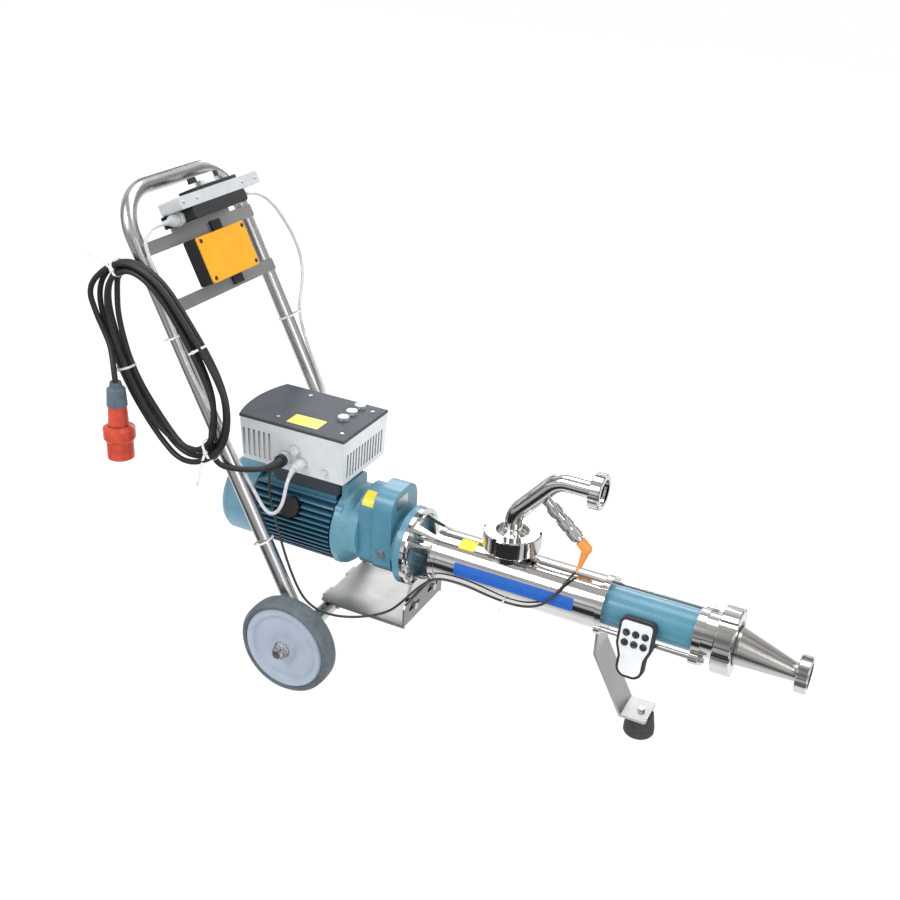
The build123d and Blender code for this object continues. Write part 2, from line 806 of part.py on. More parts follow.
# The lantern: a flanged cone with windows, pockets for the nuts and a foot under it.
window_back = gear_flange_front + lantern_plate + 3
with BuildPart() as lantern:
    turn_x(
        [
            (gear_flange_front, lantern_back_r - lantern_wall),
            (gear_flange_front, flange_r),
            (gear_flange_front + lantern_plate, flange_r),
            (gear_flange_front + lantern_plate, lantern_back_r),
            (lantern_front, lantern_front_r),
            (lantern_front, lantern_front_r - lantern_wall),
        ]
    )
    block(window_back, lantern_front - 4, -100, 100, pump_z - 38, pump_z + 31, mode=Mode.SUBTRACT)
    block(window_back, lantern_front - 2, -22, 22, pump_z + 20, pump_z + 90, mode=Mode.SUBTRACT)
    with BuildSketch(Plane.YZ.offset(gear_flange_front + lantern_plate)):
        with Locations((0, pump_z)):
            with PolarLocations(flange_pcd / 2, 4, start_angle=45):
                Circle(10.5)
    extrude(amount=60, mode=Mode.SUBTRACT)
    with BuildSketch(Plane.YZ.offset(foot_back)):
        Polygon(
            (-58, slot_z - 14), (58, slot_z - 14), (58, slot_z + 15),
            (40, slot_z + 50), (-40, slot_z + 50), (-58, slot_z + 15),
            align=None,
        )
    extrude(amount=lantern_foot_t)
    with BuildSketch(Plane.YZ.offset(foot_back)):
        with Locations((-bolt_y, slot_z), (bolt_y, slot_z)):
            Circle(4.0)
    extrude(amount=lantern_foot_t, mode=Mode.SUBTRACT)
    with BuildSketch(Plane.YZ.offset(gear_flange_front)):
        with Locations((0, pump_z)):
            with PolarLocations(flange_pcd / 2, 4, start_angle=45):
                Circle(4.0)
    extrude(amount=lantern_plate, mode=Mode.SUBTRACT)
save(lantern.part, "lantern")

# The drive shaft from the gearbox, with a socket for the coupling rod.
with BuildPart() as drive_shaft:
    turn_x(
        [
            (shaft_end, 0),
            (shaft_end, shaft_r - 1),
            (shaft_end + 1, shaft_r),
            (drive_head_back, shaft_r),
            (drive_head_back, drive_head_r),
            (drive_head_front, drive_head_r),
            (drive_head_front, drive_ball_r + seat_gap),
            (drive_head_back + 4, drive_ball_r + seat_gap),
            (drive_head_back + 4, 0),
        ]
    )
save(drive_shaft.part, "drive_shaft")

# The shaft seal in the housing's back plate.
with BuildPart() as shaft_seal:
    turn_x(
        [
            (lantern_front - 8, shaft_r + running_gap),
            (lantern_front - 8, seal_r),
            (lantern_front + housing_plate, seal_r),
            (lantern_front + housing_plate, shaft_r + running_gap),
        ]
    )
save(shaft_seal.part, "shaft_seal")

# The coupling rod: a bar with a ball at each end, leaning from the shaft's line to the rotor's.
rod_start = Vector(drive_head_front - 12, 0, pump_z)
rod_end = Vector(rotor_head_back + 13, eccentricity, pump_z)
rod_line = rod_end - rod_start
rod_plane = Plane(origin=rod_start, x_dir=rod_line, z_dir=(0, 0, 1))
with BuildPart() as coupling_rod:
    with BuildSketch(rod_plane):
        Circle(drive_ball_r)
        with Locations((rod_line.length, 0)):
            Circle(rotor_ball_r)
        with Locations((rod_line.length / 2, 0)):
            Rectangle(rod_line.length, 2 * rod_r)
        with Locations((rod_line.length / 2, -50)):
            Rectangle(rod_line.length + 80, 100, mode=Mode.SUBTRACT)
    revolve(axis=Axis(rod_start, rod_line))
save(coupling_rod.part, "coupling_rod")

# The rotor: a round bar whose centre winds round the rotor's own line.
rotor_y = eccentricity
rotor_len = rotor_front - helix_back
round_section = Plane.YZ.offset(helix_back) * Pos(2 * eccentricity, pump_z) * Circle(rotor_d / 2)
with BuildPart() as rotor:
    turn_x(
        [
            (rotor_head_back, rotor_ball_r + seat_gap),
            (rotor_head_back, rotor_head_r - 1),
            (rotor_head_back + 1, rotor_head_r),
            (stator_back, rotor_head_r),
            (stator_back, 12),
            (helix_back, 12),
            (helix_back, 0),
            (stator_back - 4, 0),
            (stator_back - 4, rotor_ball_r + seat_gap),
        ],
        y=rotor_y,
    )
    add(
        Solid.extrude_linear_with_rotation(
            round_section.face(),
            (helix_back, rotor_y, pump_z),
            (rotor_len, 0, 0),
            360 * rotor_len / rotor_pitch,
        )
    )
save(rotor.part, "rotor")

# The stator: a steel tube and an elastomer lining with a two-start long hole at twice the pitch.
with BuildPart() as stator_tube:
    turn_x(
        [
            (stator_back, stator_in_r),
            (stator_back, stator_r),
            (stator_front, stator_r),
            (stator_front, stator_in_r),
        ]
    )
save(stator_tube.part, "stator_tube")

lining_len = lining_front - helix_back
long_section = (
    Plane.YZ.offset(helix_back)
    * Pos(0, pump_z)
    * SlotCenterToCenter(4 * eccentricity, rotor_d + 2 * rotor_gap)
)
with BuildPart() as stator_lining:
    disc_x(helix_back, lining_front, stator_in_r)
    add(
        Solid.extrude_linear_with_rotation(
            long_section.face(),
            (helix_back, 0, pump_z),
            (lining_len, 0, 0),
            360 * lining_len / (2 * rotor_pitch),
        ),
        mode=Mode.SUBTRACT,
    )
save(stator_lining.part, "stator_lining")

# Ears for the two tie rods, at the same place on the housing and on the discharge flange.
tie_spots = [
    (tie_pcr * cos(radians(a)), pump_z + tie_pcr * sin(radians(a))) for a in tie_angles
]

# The suction housing: a tube with a back plate, an end ring and a stub on top.
ring_back = stator_back + 2 - end_ring_l
with BuildPart() as suction_housing:
    turn_x(
        [
            (lantern_front, 0),
            (lantern_front, lantern_front_r),
            (lantern_front + housing_plate, lantern_front_r),
            (lantern_front + housing_plate, housing_r),
            (ring_back, housing_r),
            (ring_back, end_ring_r),
            (ring_back + end_ring_l, end_ring_r),
            (ring_back + end_ring_l, 0),
        ]
    )
    turn_z([(pump_z, 0), (pump_z, stub_r), (stub_top - 12, stub_r), (stub_top - 12, inlet_seat_r),
            (stub_top, inlet_seat_r), (stub_top, 0)], inlet_x)
    with BuildSketch(Plane.YZ.offset(ring_back)):
        with Locations(*tie_spots):
            Circle(11)
    extrude(amount=end_ring_l)
    turn_x(
        [
            (lantern_front + housing_plate, 0),
            (lantern_front + housing_plate, housing_r - housing_wall),
            (ring_back, housing_r - housing_wall),
            (ring_back, stator_in_r - 2),
            (stator_back, stator_in_r - 2),
            (stator_back, stator_r),
            (ring_back + end_ring_l, stator_r),
            (ring_back + end_ring_l, 0),
        ],
        mode=Mode.SUBTRACT,
    )
    disc_x(lantern_front, lantern_front + housing_plate, seal_r, mode=Mode.SUBTRACT)
    turn_z([(pump_z, 0), (pump_z, stub_r - housing_wall), (stub_top, stub_r - housing_wall), (stub_top, 0)],
           inlet_x, mode=Mode.SUBTRACT)
    with BuildSketch(Plane.YZ.offset(ring_back)):
        with Locations(*tie_spots):
            Circle(tie_r)
    extrude(amount=end_ring_l, mode=Mode.SUBTRACT)
save(suction_housing.part, "suction_housing")

flange_front = stator_front - 2 + discharge_t
with BuildPart() as tie_rods:
    with BuildSketch(Plane.YZ.offset(ring_back)):
        with Locations(*tie_spots):
            Circle(tie_r)
    extrude(amount=flange_front + 12 - ring_back)
    with BuildSketch(Plane.YZ.offset(flange_front)):
        with Locations(*tie_spots):
            RegularPolygon(8.2, 6, major_radius=False, rotation=tie_angles[0] + 30)
            Circle(tie_r, mode=Mode.SUBTRACT)
    extrude(amount=8)
save(tie_rods.part, "tie_rods")

# ---- Discharge ----------------------------------------------------------

with BuildPart() as discharge_flange:
    turn_x(
        [
            (stator_front - 2, stator_r),
            (stator_front - 2, 46),
            (flange_front, 46),
            (flange_front, neck_r),
            (neck_front - 14, neck_r),
            (neck_front - 14, seat_r),
            (neck_front, seat_r),
            (neck_front, neck_r - neck_wall),
            (flange_front, neck_r - neck_wall),
            (stator_front + 6, stator_in_r - 2),
            (stator_front, stator_in_r - 2),
            (stator_front, stator_r),
        ]
    )
    with BuildSketch(Plane.YZ.offset(stator_front - 2)):
        with Locations(*tie_spots):
            Circle(11)
        with Locations((0, pump_z)):
            Circle(stator_r + 2, mode=Mode.SUBTRACT)
    extrude(amount=discharge_t)
    with BuildSketch(Plane.YZ.offset(stator_front - 2)):
        with Locations(*tie_spots):
            Circle(tie_r)
    extrude(amount=discharge_t, mode=Mode.SUBTRACT)
save(discharge_flange.part, "discharge_flange")

# The big slotted nut, which draws the reducer's collar against the neck.
collar_front = neck_front + 12
with BuildPart() as discharge_nut:
    turn_x(
        [
            (big_nut_back, seat_r),
            (big_nut_back, big_nut_r - 2),
            (big_nut_back + 2, big_nut_r),
            (big_nut_front - 2, big_nut_r),
            (big_nut_front, big_nut_r - 2),
            (big_nut_front, neck_r),
            (collar_front, neck_r),
            (collar_front, seat_r),
        ]
    )
    slot_ring(6, big_nut_r, 5, 11, big_nut_back, big_nut_front)
save(discharge_nut.part, "discharge_nut")

# The reducer: an eccentric cone, level underneath so that the pump drains, and a small tube.
small_seat_r = small_r + 7
small_collar_back = small_end - 7
with BuildPart() as reducer:
    turn_x([(neck_front, 0), (neck_front, seat_r), (collar_front, seat_r), (collar_front, neck_r),
            (big_nut_front - 4, neck_r), (big_nut_front - 4, 0)])
    disc_x(collar_front, cone_back, cone_r, cone_z)
    with BuildSketch(Plane.YZ.offset(cone_back)):
        with Locations((0, cone_z)):
            Circle(cone_r)
    with BuildSketch(Plane.YZ.offset(cone_front)):
        with Locations((0, reducer_z)):
            Circle(small_r)
    loft()
    turn_x([(cone_front, 0), (cone_front, small_r), (small_collar_back, small_r),
            (small_collar_back, small_seat_r), (small_end, small_seat_r), (small_end, 0)], reducer_z)
    disc_x(neck_front, cone_back, cone_r - neck_wall, cone_z, mode=Mode.SUBTRACT)
    with BuildSketch(Plane.YZ.offset(cone_back)):
        with Locations((0, cone_z)):
            Circle(cone_r - neck_wall)
    with BuildSketch(Plane.YZ.offset(cone_front)):
        with Locations((0, reducer_z)):
            Circle(small_r - small_wall)
    loft(mode=Mode.SUBTRACT)
    disc_x(cone_front, small_end, small_r - small_wall, reducer_z, mode=Mode.SUBTRACT)
save(reducer.part, "reducer")

# Two slotted nuts for the hoses: one on the reducer, one on the inlet elbow.
with BuildPart() as hose_nuts:
    for end_x, nut_z in ((small_end, reducer_z), (elbow_end_x, elbow_high_z)):
        back = end_x + hose_seat - hose_nut_l
        turn_x(
            [
                (back, small_r),
                (back, hose_nut_r - 2),
                (back + 2, hose_nut_r),
                (end_x + hose_seat - 2, hose_nut_r),
                (end_x + hose_seat, hose_nut_r - 2),
                (end_x + hose_seat, small_seat_r),
                (end_x - 7, small_seat_r),
                (end_x - 7, small_r),
            ],
            nut_z,
        )
        slot_ring(4, hose_nut_r, 3.5, 9, back, end_x + hose_seat, nut_z)
save(hose_nuts.part, "hose_nuts")

# ---- Inlet --------------------------------------------------------------

with BuildPart() as inlet_nut:
    turn_z(
        [
            (inlet_nut_bottom, inlet_seat_r),
            (inlet_nut_bottom, inlet_nut_r - 2),
            (inlet_nut_bottom + 2, inlet_nut_r),
            (inlet_nut_top - 2, inlet_nut_r),
            (inlet_nut_top, inlet_nut_r - 2),
            (inlet_nut_top, inlet_collar_r),
            (stub_top + 12, inlet_collar_r),
            (stub_top + 12, inlet_seat_r),
        ],
        inlet_x,
    )
    with BuildSketch(Plane.XY.offset(inlet_nut_bottom)):
        with Locations((inlet_x, 0)):
            with PolarLocations(inlet_nut_r, 6, start_angle=15):
                Rectangle(9, 11)
    extrude(amount=inlet_nut_top - inlet_nut_bottom, mode=Mode.SUBTRACT)
save(inlet_nut.part, "inlet_nut")

elbow_points = [
    (inlet_x, 0, inlet_nut_top - 2),
    (inlet_x, 0, elbow_low_z),
    (elbow_high_x, 0, elbow_high_z),
    (elbow_end_x, 0, elbow_high_z),
]
elbow_rise = Vector(*elbow_points[2]) - Vector(*elbow_points[1])
sensor_dir = Vector(elbow_rise.Z, 0, -elbow_rise.X).normalized()
sensor_root = Vector(*elbow_points[1]) + elbow_rise.normalized() * elbow_rise.length * sensor_share
with BuildPart() as inlet_elbow:
    with BuildLine():
        FilletPolyline(*elbow_points, radius=elbow_bend)
    with BuildSketch(Plane.XY.offset(inlet_nut_top - 2)):
        with Locations((inlet_x, 0)):
            Circle(small_r)
            Circle(small_r - small_wall, mode=Mode.SUBTRACT)
    sweep()
    turn_z(
        [
            (stub_top, small_r - small_wall),
            (stub_top, inlet_seat_r),
            (stub_top + 12, inlet_seat_r),
            (stub_top + 12, inlet_collar_r),
            (stub_top + 22, inlet_collar_r),
            (stub_top + 24, inlet_collar_r - 4),
            (inlet_nut_top, small_r + 4),
            (inlet_nut_top + 6, small_r),
            (inlet_nut_top + 6, small_r - small_wall),
        ],
        inlet_x,
    )
    turn_x([(elbow_end_x - 7, small_r - small_wall), (elbow_end_x - 7, small_seat_r),
            (elbow_end_x, small_seat_r), (elbow_end_x, small_r - small_wall)], elbow_high_z)
    with BuildSketch(Plane(origin=sensor_root + sensor_dir * (small_r - 0.8), z_dir=sensor_dir)):
        Circle(sensor_r - 2.5)
    extrude(amount=boss_l)
save(inlet_elbow.part, "inlet_elbow")

# The pressure sensor in the elbow's boss, and its angled plug.
body_start = sensor_root + sensor_dir * (small_r - 0.8 + boss_l)
with BuildPart() as sensor_body:
    for start, length, r in ((0, 22, sensor_r), (22, 5, sensor_r - 2), (27, 53, sensor_r), (80, 14, 8)):
        with BuildSketch(Plane(origin=body_start + sensor_dir * start, z_dir=sensor_dir)):
            Circle(r)
        extrude(amount=length)
save(sensor_body.part, "sensor_body")

plug_knee = body_start + sensor_dir * 104
plug_exit = Vector(-153, -8, 330)
with BuildPart() as sensor_plug:
    with BuildSketch(Plane(origin=body_start + sensor_dir * 84, z_dir=sensor_dir)):
        Circle(10.5)
    extrude(amount=20)
    with Locations(plug_knee):
        Sphere(10.5)
    with BuildSketch(Plane(origin=plug_knee, z_dir=plug_exit - plug_knee)):
        Circle(9)
    extrude(amount=(plug_exit - plug_knee).length, taper=7)
    with BuildSketch(Plane(origin=body_start + sensor_dir * 84, z_dir=sensor_dir)):
        Circle(8)
    extrude(amount=10, mode=Mode.SUBTRACT)
save(sensor_plug.part, "sensor_plug")

# ---- Controls on the handle ---------------------------------------------


def handle_block(y0, y1, u0, u1, n0, n1, corner=0.0, mode=Mode.ADD):
    """A block on the handle's front: across y0 to y1, up u0 to u1, out n0 to n1."""
    with BuildSketch(handle_plane.offset(n0)) as outline:
        with Locations(((y0 + y1) / 2, (u0 + u1) / 2)):
            if corner:
                RectangleRounded(y1 - y0, u1 - u0, corner)
            else:
                Rectangle(y1 - y0, u1 - u0)
    extrude(outline.sketch, amount=n1 - n0, mode=mode)


switch_out = mount_out + switch_depth
seam_u = (switch_u0 + switch_u1) / 2
knob_out = mount_out + switch_depth / 2
knob_plane = Plane(origin=on_handle(knob_y, switch_u1, knob_out), x_dir=(0, 1, 0),
                   z_dir=(-sin(lean), 0, cos(lean)))
lead_gland_u = switch_u0 + 12
lead_gland_n = mount_out + 15
with BuildPart() as switch_box:
    handle_block(switch_core0, switch_core1, switch_u0, seam_u, mount_out, switch_out, 6)
    handle_block(switch_y0 - 6, switch_y1, switch_u0, seam_u, mount_out, mount_out + 3, 2)
    for tip_y, side in ((switch_core0, -1), (switch_core1, 1)):
        with BuildSketch(Plane(origin=on_handle(tip_y, lead_gland_u, lead_gland_n), z_dir=(0, side, 0))):
            RegularPolygon(10, 6)
        extrude(amount=24)
        with BuildSketch(Plane(origin=on_handle(tip_y + side * 24, lead_gland_u, lead_gland_n),
                               z_dir=(0, side, 0))):
            Circle(8)
        extrude(amount=gland_len - 24, taper=14)
    with BuildSketch(knob_plane):
        with Locations((5, 0)):
            RectangleRounded(140, switch_depth - 9, 8)
    extrude(amount=7)
save(switch_box.part, "switch_box")

with BuildPart() as switch_cover:
    handle_block(switch_y0, switch_y1, seam_u, switch_u1, mount_out, switch_out, 5)
save(switch_cover.part, "switch_cover")

with BuildPart() as switch_knob:
    with BuildSketch(knob_plane.offset(7 + seat_gap)):
        Circle(20)
    extrude(amount=9, taper=6)
    with BuildSketch(knob_plane.offset(7 + seat_gap + 9)):
        SlotOverall(92, 11)
    extrude(amount=11, taper=5)
save(switch_knob.part, "switch_knob")

cover_out = mount_out + receiver_depth - 5
with BuildPart() as receiver_box:
    handle_block(receiver_y0, receiver_y1, receiver_u0, receiver_u1, mount_out, cover_out, 5)
    handle_block(receiver_y0 + 95, receiver_y0 + 125, receiver_u1, receiver_u1 + 20, mount_out, mount_out + 4)
    handle_block(receiver_y0 + 95, receiver_y0 + 125, receiver_u0 - 20, receiver_u0, mount_out, mount_out + 4)
save(receiver_box.part, "receiver_box")

with BuildPart() as receiver_cover:
    handle_block(receiver_y0, receiver_y1, receiver_u0, receiver_u1, cover_out, cover_out + 5, 5)
    chamfer(receiver_cover.faces().sort_by(Axis((0, 0, 0), handle_plane.z_dir))[-1].edges(), 1.5)
    with BuildSketch(handle_plane.offset(cover_out + 5)):
        with Locations(((receiver_y0 + receiver_y1) / 2, (receiver_u0 + receiver_u1) / 2)):
            with GridLocations(receiver_y1 - receiver_y0 - 16, receiver_u1 - receiver_u0 - 16, 2, 2):
                Circle(4)
    extrude(amount=-2, mode=Mode.SUBTRACT)
save(receiver_cover.part, "receiver_cover")

# ---- Remote -------------------------------------------------------------

tilt = radians(remote_tilt)
remote_plane = Plane(
    origin=(remote_x, -stator_r * cos(tilt), pump_z + stator_r * sin(tilt)),
    x_dir=(1, 0, 0),
    z_dir=(0, -cos(tilt), sin(tilt)),
)
back_n = seat_gap + magnet_t


def remote_outline(inset):
    """The remote's outline: a wide head and a narrower grip, drawn about its middle."""
    wide, narrow, half = remote_w / 2, remote_w / 2 - 8, remote_h / 2
    with BuildSketch() as outline:
        with Locations((0, -remote_drop)):
            Polygon((-wide, half), (wide, half), (wide, 4), (narrow, -18), (narrow, -half),
                    (-narrow, -half), (-narrow, -18), (-wide, 4), align=None)
        fillet(outline.vertices().sort_by(Axis.Y)[:2], 20)
        fillet(outline.vertices().sort_by(Axis.Y)[-2:], 13)
        if inset:
            offset(amount=-inset, mode=Mode.REPLACE)
    return outline.sketch


rubber_t = 5.0
with BuildPart() as remote_frame:
    with BuildSketch(remote_plane.offset(back_n)):
        add(remote_outline(0))
    extrude(amount=remote_t)
    with BuildSketch(remote_plane.offset(back_n + 3)):
        add(remote_outline(rubber_t))
    extrude(amount=remote_t, mode=Mode.SUBTRACT)
    with BuildSketch(remote_plane.offset(-8)):
        with Locations((0, -9)):
            Rectangle(50, 30)
    extrude(amount=back_n + 8)
    disc_x(remote_x - 60, remote_x + 60, stator_r + seat_gap, mode=Mode.SUBTRACT)
save(remote_frame.part, "remote_frame")

face_n = back_n + remote_t + 1
button_spots = [
    (x, -remote_drop + y)
    for y in (button_y, button_y - button_pitch_y)
    for x in (-button_pitch_x, 0, button_pitch_x)
]
with BuildPart() as remote_body:
    with BuildSketch(remote_plane.offset(back_n + 3)):
        add(remote_outline(rubber_t))
    extrude(amount=face_n - back_n - 3)
    with BuildSketch(remote_plane.offset(face_n)):
        with Locations(*button_spots):
            Circle(button_r + seat_gap)
    extrude(amount=-10, mode=Mode.SUBTRACT)
save(remote_body.part, "remote_body")

for i, spot in enumerate(button_spots):
    with BuildPart() as button:
        with BuildSketch(remote_plane.offset(face_n - 8)):
            with Locations(spot):
                Circle(button_r)
        extrude(amount=8 + button_rise)
        chamfer(button.faces().sort_by(Axis((0, 0, 0), remote_plane.z_dir))[-1].edges(), 0.8)
    save(button.part, f"remote_button_{i + 1}")

# ---- Cords --------------------------------------------------------------

# The power cable leaves its gland, sinks to the coil, and the coil's other end hangs down to the plug.
gland_end = -(wall_at + gland_len)
power_points = [
    (side_glands[0][0], gland_end, side_glands[0][1]),
    (-755, -135, 428),
    (-775, -162, 429),
    (-806, -182, 433),
    (-838, -196, 441),
]
save(cord_tube(power_points, power_d, "power_cable"), "power_cable")
tail_points = [
    (-1064, -204, 652),
    (-1054, -218, 628),
    (-1042, -231, 604),
    (plug_x, plug_y, plug_top),
]
save(cord_tube(tail_points, power_d, "power_tail"), "power_tail")

# The hung-up coil: one closed loop as large as its turns, leaning on the handle's near leg.
coil_outer = [
    (-1068, 798), (-1013, 820), (-941, 794), (-884, 724), (-820, 639), (-786, 557),
    (-812, 465), (-907, 416), (-990, 453), (-1057, 563), (-1108, 672), (-1118, 745),
]
coil_inner = [
    (-1044, 778), (-1050, 700), (-1024, 596), (-970, 510), (-880, 468),
    (-844, 495), (-844, 583), (-886, 679), (-944, 760), (-1004, 794),
]
with BuildPart() as cable_coil:
    with BuildSketch(Plane.XZ.offset(-(coil_y + coil_w / 2))):
        with BuildLine():
            Spline(*coil_outer, periodic=True)
        make_face()
        with BuildLine():
            Spline(*coil_inner, periodic=True)
        make_face(mode=Mode.SUBTRACT)
    extrude(amount=coil_w)
save(cable_coil.part, "cable_coil")

# The plug: a cap with the cord's grip, a body and an open skirt round its pins.
with BuildPart() as power_plug:
    turn_z(
        [
            (plug_top, 0), (plug_top, 11), (plug_top - 10, 13), (plug_top - 14, 18),
            (plug_top - 48, 20), (plug_top - 49, 18), (plug_top - 88, 20),
            (plug_top - 96, plug_r), (plug_top - 116, plug_r), (plug_top - 122, plug_r - 5),
            (plug_bottom, plug_r - 5), (plug_bottom, plug_r - 8),
            (plug_bottom + 34, plug_r - 8), (plug_bottom + 34, 0),
        ],
        plug_x,
        plug_y,
    )
    with BuildSketch(Plane.XY.offset(plug_bottom + 10)):
        with Locations((plug_x, plug_y)):
            with PolarLocations(14, 5, start_angle=18):
                Circle(3)
    extrude(amount=26)
save(power_plug.part, "power_plug")

# The sensor's lead: round the housing, over the base plate and up to the inverter's underside.
sensor_points = [
    tuple(plug_exit),
    (-158, -20, 320),
    (-166, -38, 308),
    (-180, -56, 284),
    (-196, -60, 262),
    (-220, -57, 245),
    (-247, -49, 232),
    (-281, -46, 228),
    (-318, -53, 236),
    (-353, -57, 245),
    (-390, -58, 247),
    (-420, -57, 242),
    (-442, -54, 228),
    (-464, -56, 206),
    (-484, -65, 180),
    (-503, -66, 156),
    (-520, -68, 138),
    (-543, -84, 129),
    (-572, -108, 128),
    (-604, -130, 132),
    (-640, -141, 138),
    (-672, -143, 154),
    (-694, -142, 184),
    (-714, -140, 226),
    (-732, -138, 275),
    (-750, -130, 314),
    (-772, -112, 340),
    (-792, -88, 356),
    (-800, -74, 372),
    (under_gland[0], under_gland[1], inv_bottom - 14),
]
save(cord_tube(sensor_points, sensor_d, "sensor_lead"), "sensor_lead")

# The two switch leads: one down the near leg, one in a free loop beside the far leg.
near_gland_y = switch_core0 - gland_len
far_gland_y = switch_core1 + gland_len
near_points = [
    on_handle(near_gland_y, lead_gland_u, lead_gland_n),
    on_handle(-124, 835, 33),
    on_handle(-152, 832, 30),
    on_handle(-172, 816, 27),
    on_handle(-175, 784, 25),
    on_handle(-177, 742, 24),
    on_handle(-183, 690, 20),
    on_handle(-185, 620, 17),
    on_handle(-185, 550, 17),
    on_handle(-180, 486, 20),
    on_handle(-174, 434, 22),
    on_handle(-170, 384, 22),
    on_handle(-165, 338, 22),
    on_handle(-161, 298, 23),
    (-756, -158, 346),
    (-740, -156, 338),
    (-725, -152, 350),
    (-718, -147, 372),
    (-717, -142, 392),
    (-717, -132, 412),
    (side_glands[1][0], gland_end, side_glands[1][1]),
]
save(cord_tube(near_points, lead_d, "near_lead"), "near_lead")
far_points = [
    on_handle(far_gland_y, lead_gland_u, lead_gland_n),
    on_handle(162, 835, 32),
    on_handle(200, 827, 28),
    on_handle(236, 800, 24),
    on_handle(258, 752, 22),
    on_handle(268, 700, 21),
    on_handle(256, 652, 21),
    on_handle(228, 616, 21),
    on_handle(196, 588, 22),
    on_handle(176, 550, 22),
    on_handle(168, 490, 21),
    on_handle(165, 430, 21),
    on_handle(160, 394, 23),
    (-803, 140, 436),
    (side_glands[2][0], -gland_end, side_glands[2][1]),
]
save(cord_tube(far_points, lead_d, "far_lead"), "far_lead")
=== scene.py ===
import math

import bmesh
import bpy
from mathutils import Matrix, Vector


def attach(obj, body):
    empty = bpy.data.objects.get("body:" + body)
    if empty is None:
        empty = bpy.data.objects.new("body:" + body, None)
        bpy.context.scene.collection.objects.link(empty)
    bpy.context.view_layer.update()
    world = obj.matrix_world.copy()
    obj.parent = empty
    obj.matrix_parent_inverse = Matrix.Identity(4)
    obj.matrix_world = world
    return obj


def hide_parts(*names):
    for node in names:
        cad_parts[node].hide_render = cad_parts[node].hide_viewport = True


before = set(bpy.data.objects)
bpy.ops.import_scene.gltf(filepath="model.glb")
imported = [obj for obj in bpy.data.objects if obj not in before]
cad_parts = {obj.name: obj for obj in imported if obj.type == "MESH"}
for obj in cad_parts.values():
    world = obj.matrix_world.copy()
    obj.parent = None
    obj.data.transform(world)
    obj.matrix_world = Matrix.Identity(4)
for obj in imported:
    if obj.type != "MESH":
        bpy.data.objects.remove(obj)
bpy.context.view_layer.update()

# ---- Camera, light and floor --------------------------------------------

CAMERA = Vector((0.4495, -1.8837, 1.5374))
YAW, PITCH, ROLL = (math.radians(a) for a in (25.21, 26.62, 3.14))
forward = Vector((-math.sin(YAW) * math.cos(PITCH), math.cos(YAW) * math.cos(PITCH), -math.sin(PITCH)))
level = Vector((math.cos(YAW), math.sin(YAW), 0))
upright = level.cross(forward)
right = level * math.cos(ROLL) + upright * math.sin(ROLL)
up = upright * math.cos(ROLL) - level * math.sin(ROLL)

scene = bpy.context.scene
camera = bpy.data.objects.new("camera", bpy.data.cameras.new("camera"))
camera.matrix_world = Matrix.Translation(CAMERA) @ Matrix((right, up, -forward)).transposed().to_4x4()
camera.data.lens = 48.99
camera.data.sensor_width = 36
camera.data.clip_start = 0.05
scene.collection.objects.link(camera)
scene.camera = camera
scene.view_settings.view_transform = "Standard"


def area_light(name, place, target, size, power, tint=(1, 1, 1)):
    data = bpy.data.lights.new(name, "AREA")
    data.shape = "RECTANGLE"
    data.size, data.size_y = size
    data.energy = power
    data.color = tint
    lamp = bpy.data.objects.new(name, data)
    lamp.location = place
    lamp.rotation_euler = (Vector(target) - Vector(place)).to_track_quat("-Z", "Y").to_euler()
    scene.collection.objects.link(lamp)


area_light("key", (-1.6, -2.2, 2.6), (-0.4, 0, 0.3), (1.6, 1.2), 42)
area_light("fill", (1.9, -1.3, 1.3), (-0.4, 0, 0.3), (1.2, 1.6), 16)
area_light("top", (-0.4, 0.4, 2.6), (-0.4, 0, 0.3), (2.4, 1.2), 30)
area_light("rim", (-1.2, 2.2, 1.5), (-0.5, 0, 0.4), (2.0, 0.8), 20)


def studio_world():
    """White to the camera, and a white room with dark cards for what the steel mirrors."""
    world = bpy.data.worlds.new("studio")
    scene.world = world
    world.use_nodes = True
    nt = world.node_tree
    nt.nodes.clear()
    n = Nodes(nt)
    direction = n.add("ShaderNodeTexCoord").outputs["Generated"]
    split = n.add("ShaderNodeSeparateXYZ", Vector=direction)
    height = n.ramp(split.outputs["Z"], [(0.0, (0.4, 0.4, 0.4)), (0.505, (0.05, 0.05, 0.05)),
                                        (0.53, (0.9, 0.9, 0.91)), (0.60, (1.0, 1.0, 1.0)), (0.65, (0.58, 0.58, 0.59)),
                                        (0.74, (0.48, 0.48, 0.48)), (0.79, (0.88, 0.88, 0.89)),
                                        (0.87, (0.80, 0.80, 0.80)), (0.92, (0.50, 0.49, 0.47)),
                                        (1.0, (0.66, 0.64, 0.61))], scale=(0.5, 0.5))
    swing = n.math("ARCTAN2", split.outputs["Y"], split.outputs["X"])
    cards = n.math("SINE", n.math("MULTIPLY", swing, 5.0))
    card = n.ramp(cards, [(0.0, (0.12, 0.12, 0.12)), (0.22, (0.3, 0.3, 0.3)), (0.36, (1, 1, 1)), (1.0, (1, 1, 1))],
                  scale=(0.5, 0.5))
    room = n.mix("MULTIPLY", 0.75, height, card)
    paths = n.add("ShaderNodeLightPath")
    lit = n.mix("MIX", paths.outputs["Is Glossy Ray"], (0.72, 0.73, 0.75, 1), room)
    seen = n.mix("MIX", paths.outputs["Is Camera Ray"], lit, (1, 1, 1, 1))
    back = n.add("ShaderNodeBackground", Color=seen, Strength=1.0)
    out = n.add("ShaderNodeOutputWorld")
    nt.links.new(back.outputs[0], out.inputs[0])


# ---- Small node-tree helper ---------------------------------------------


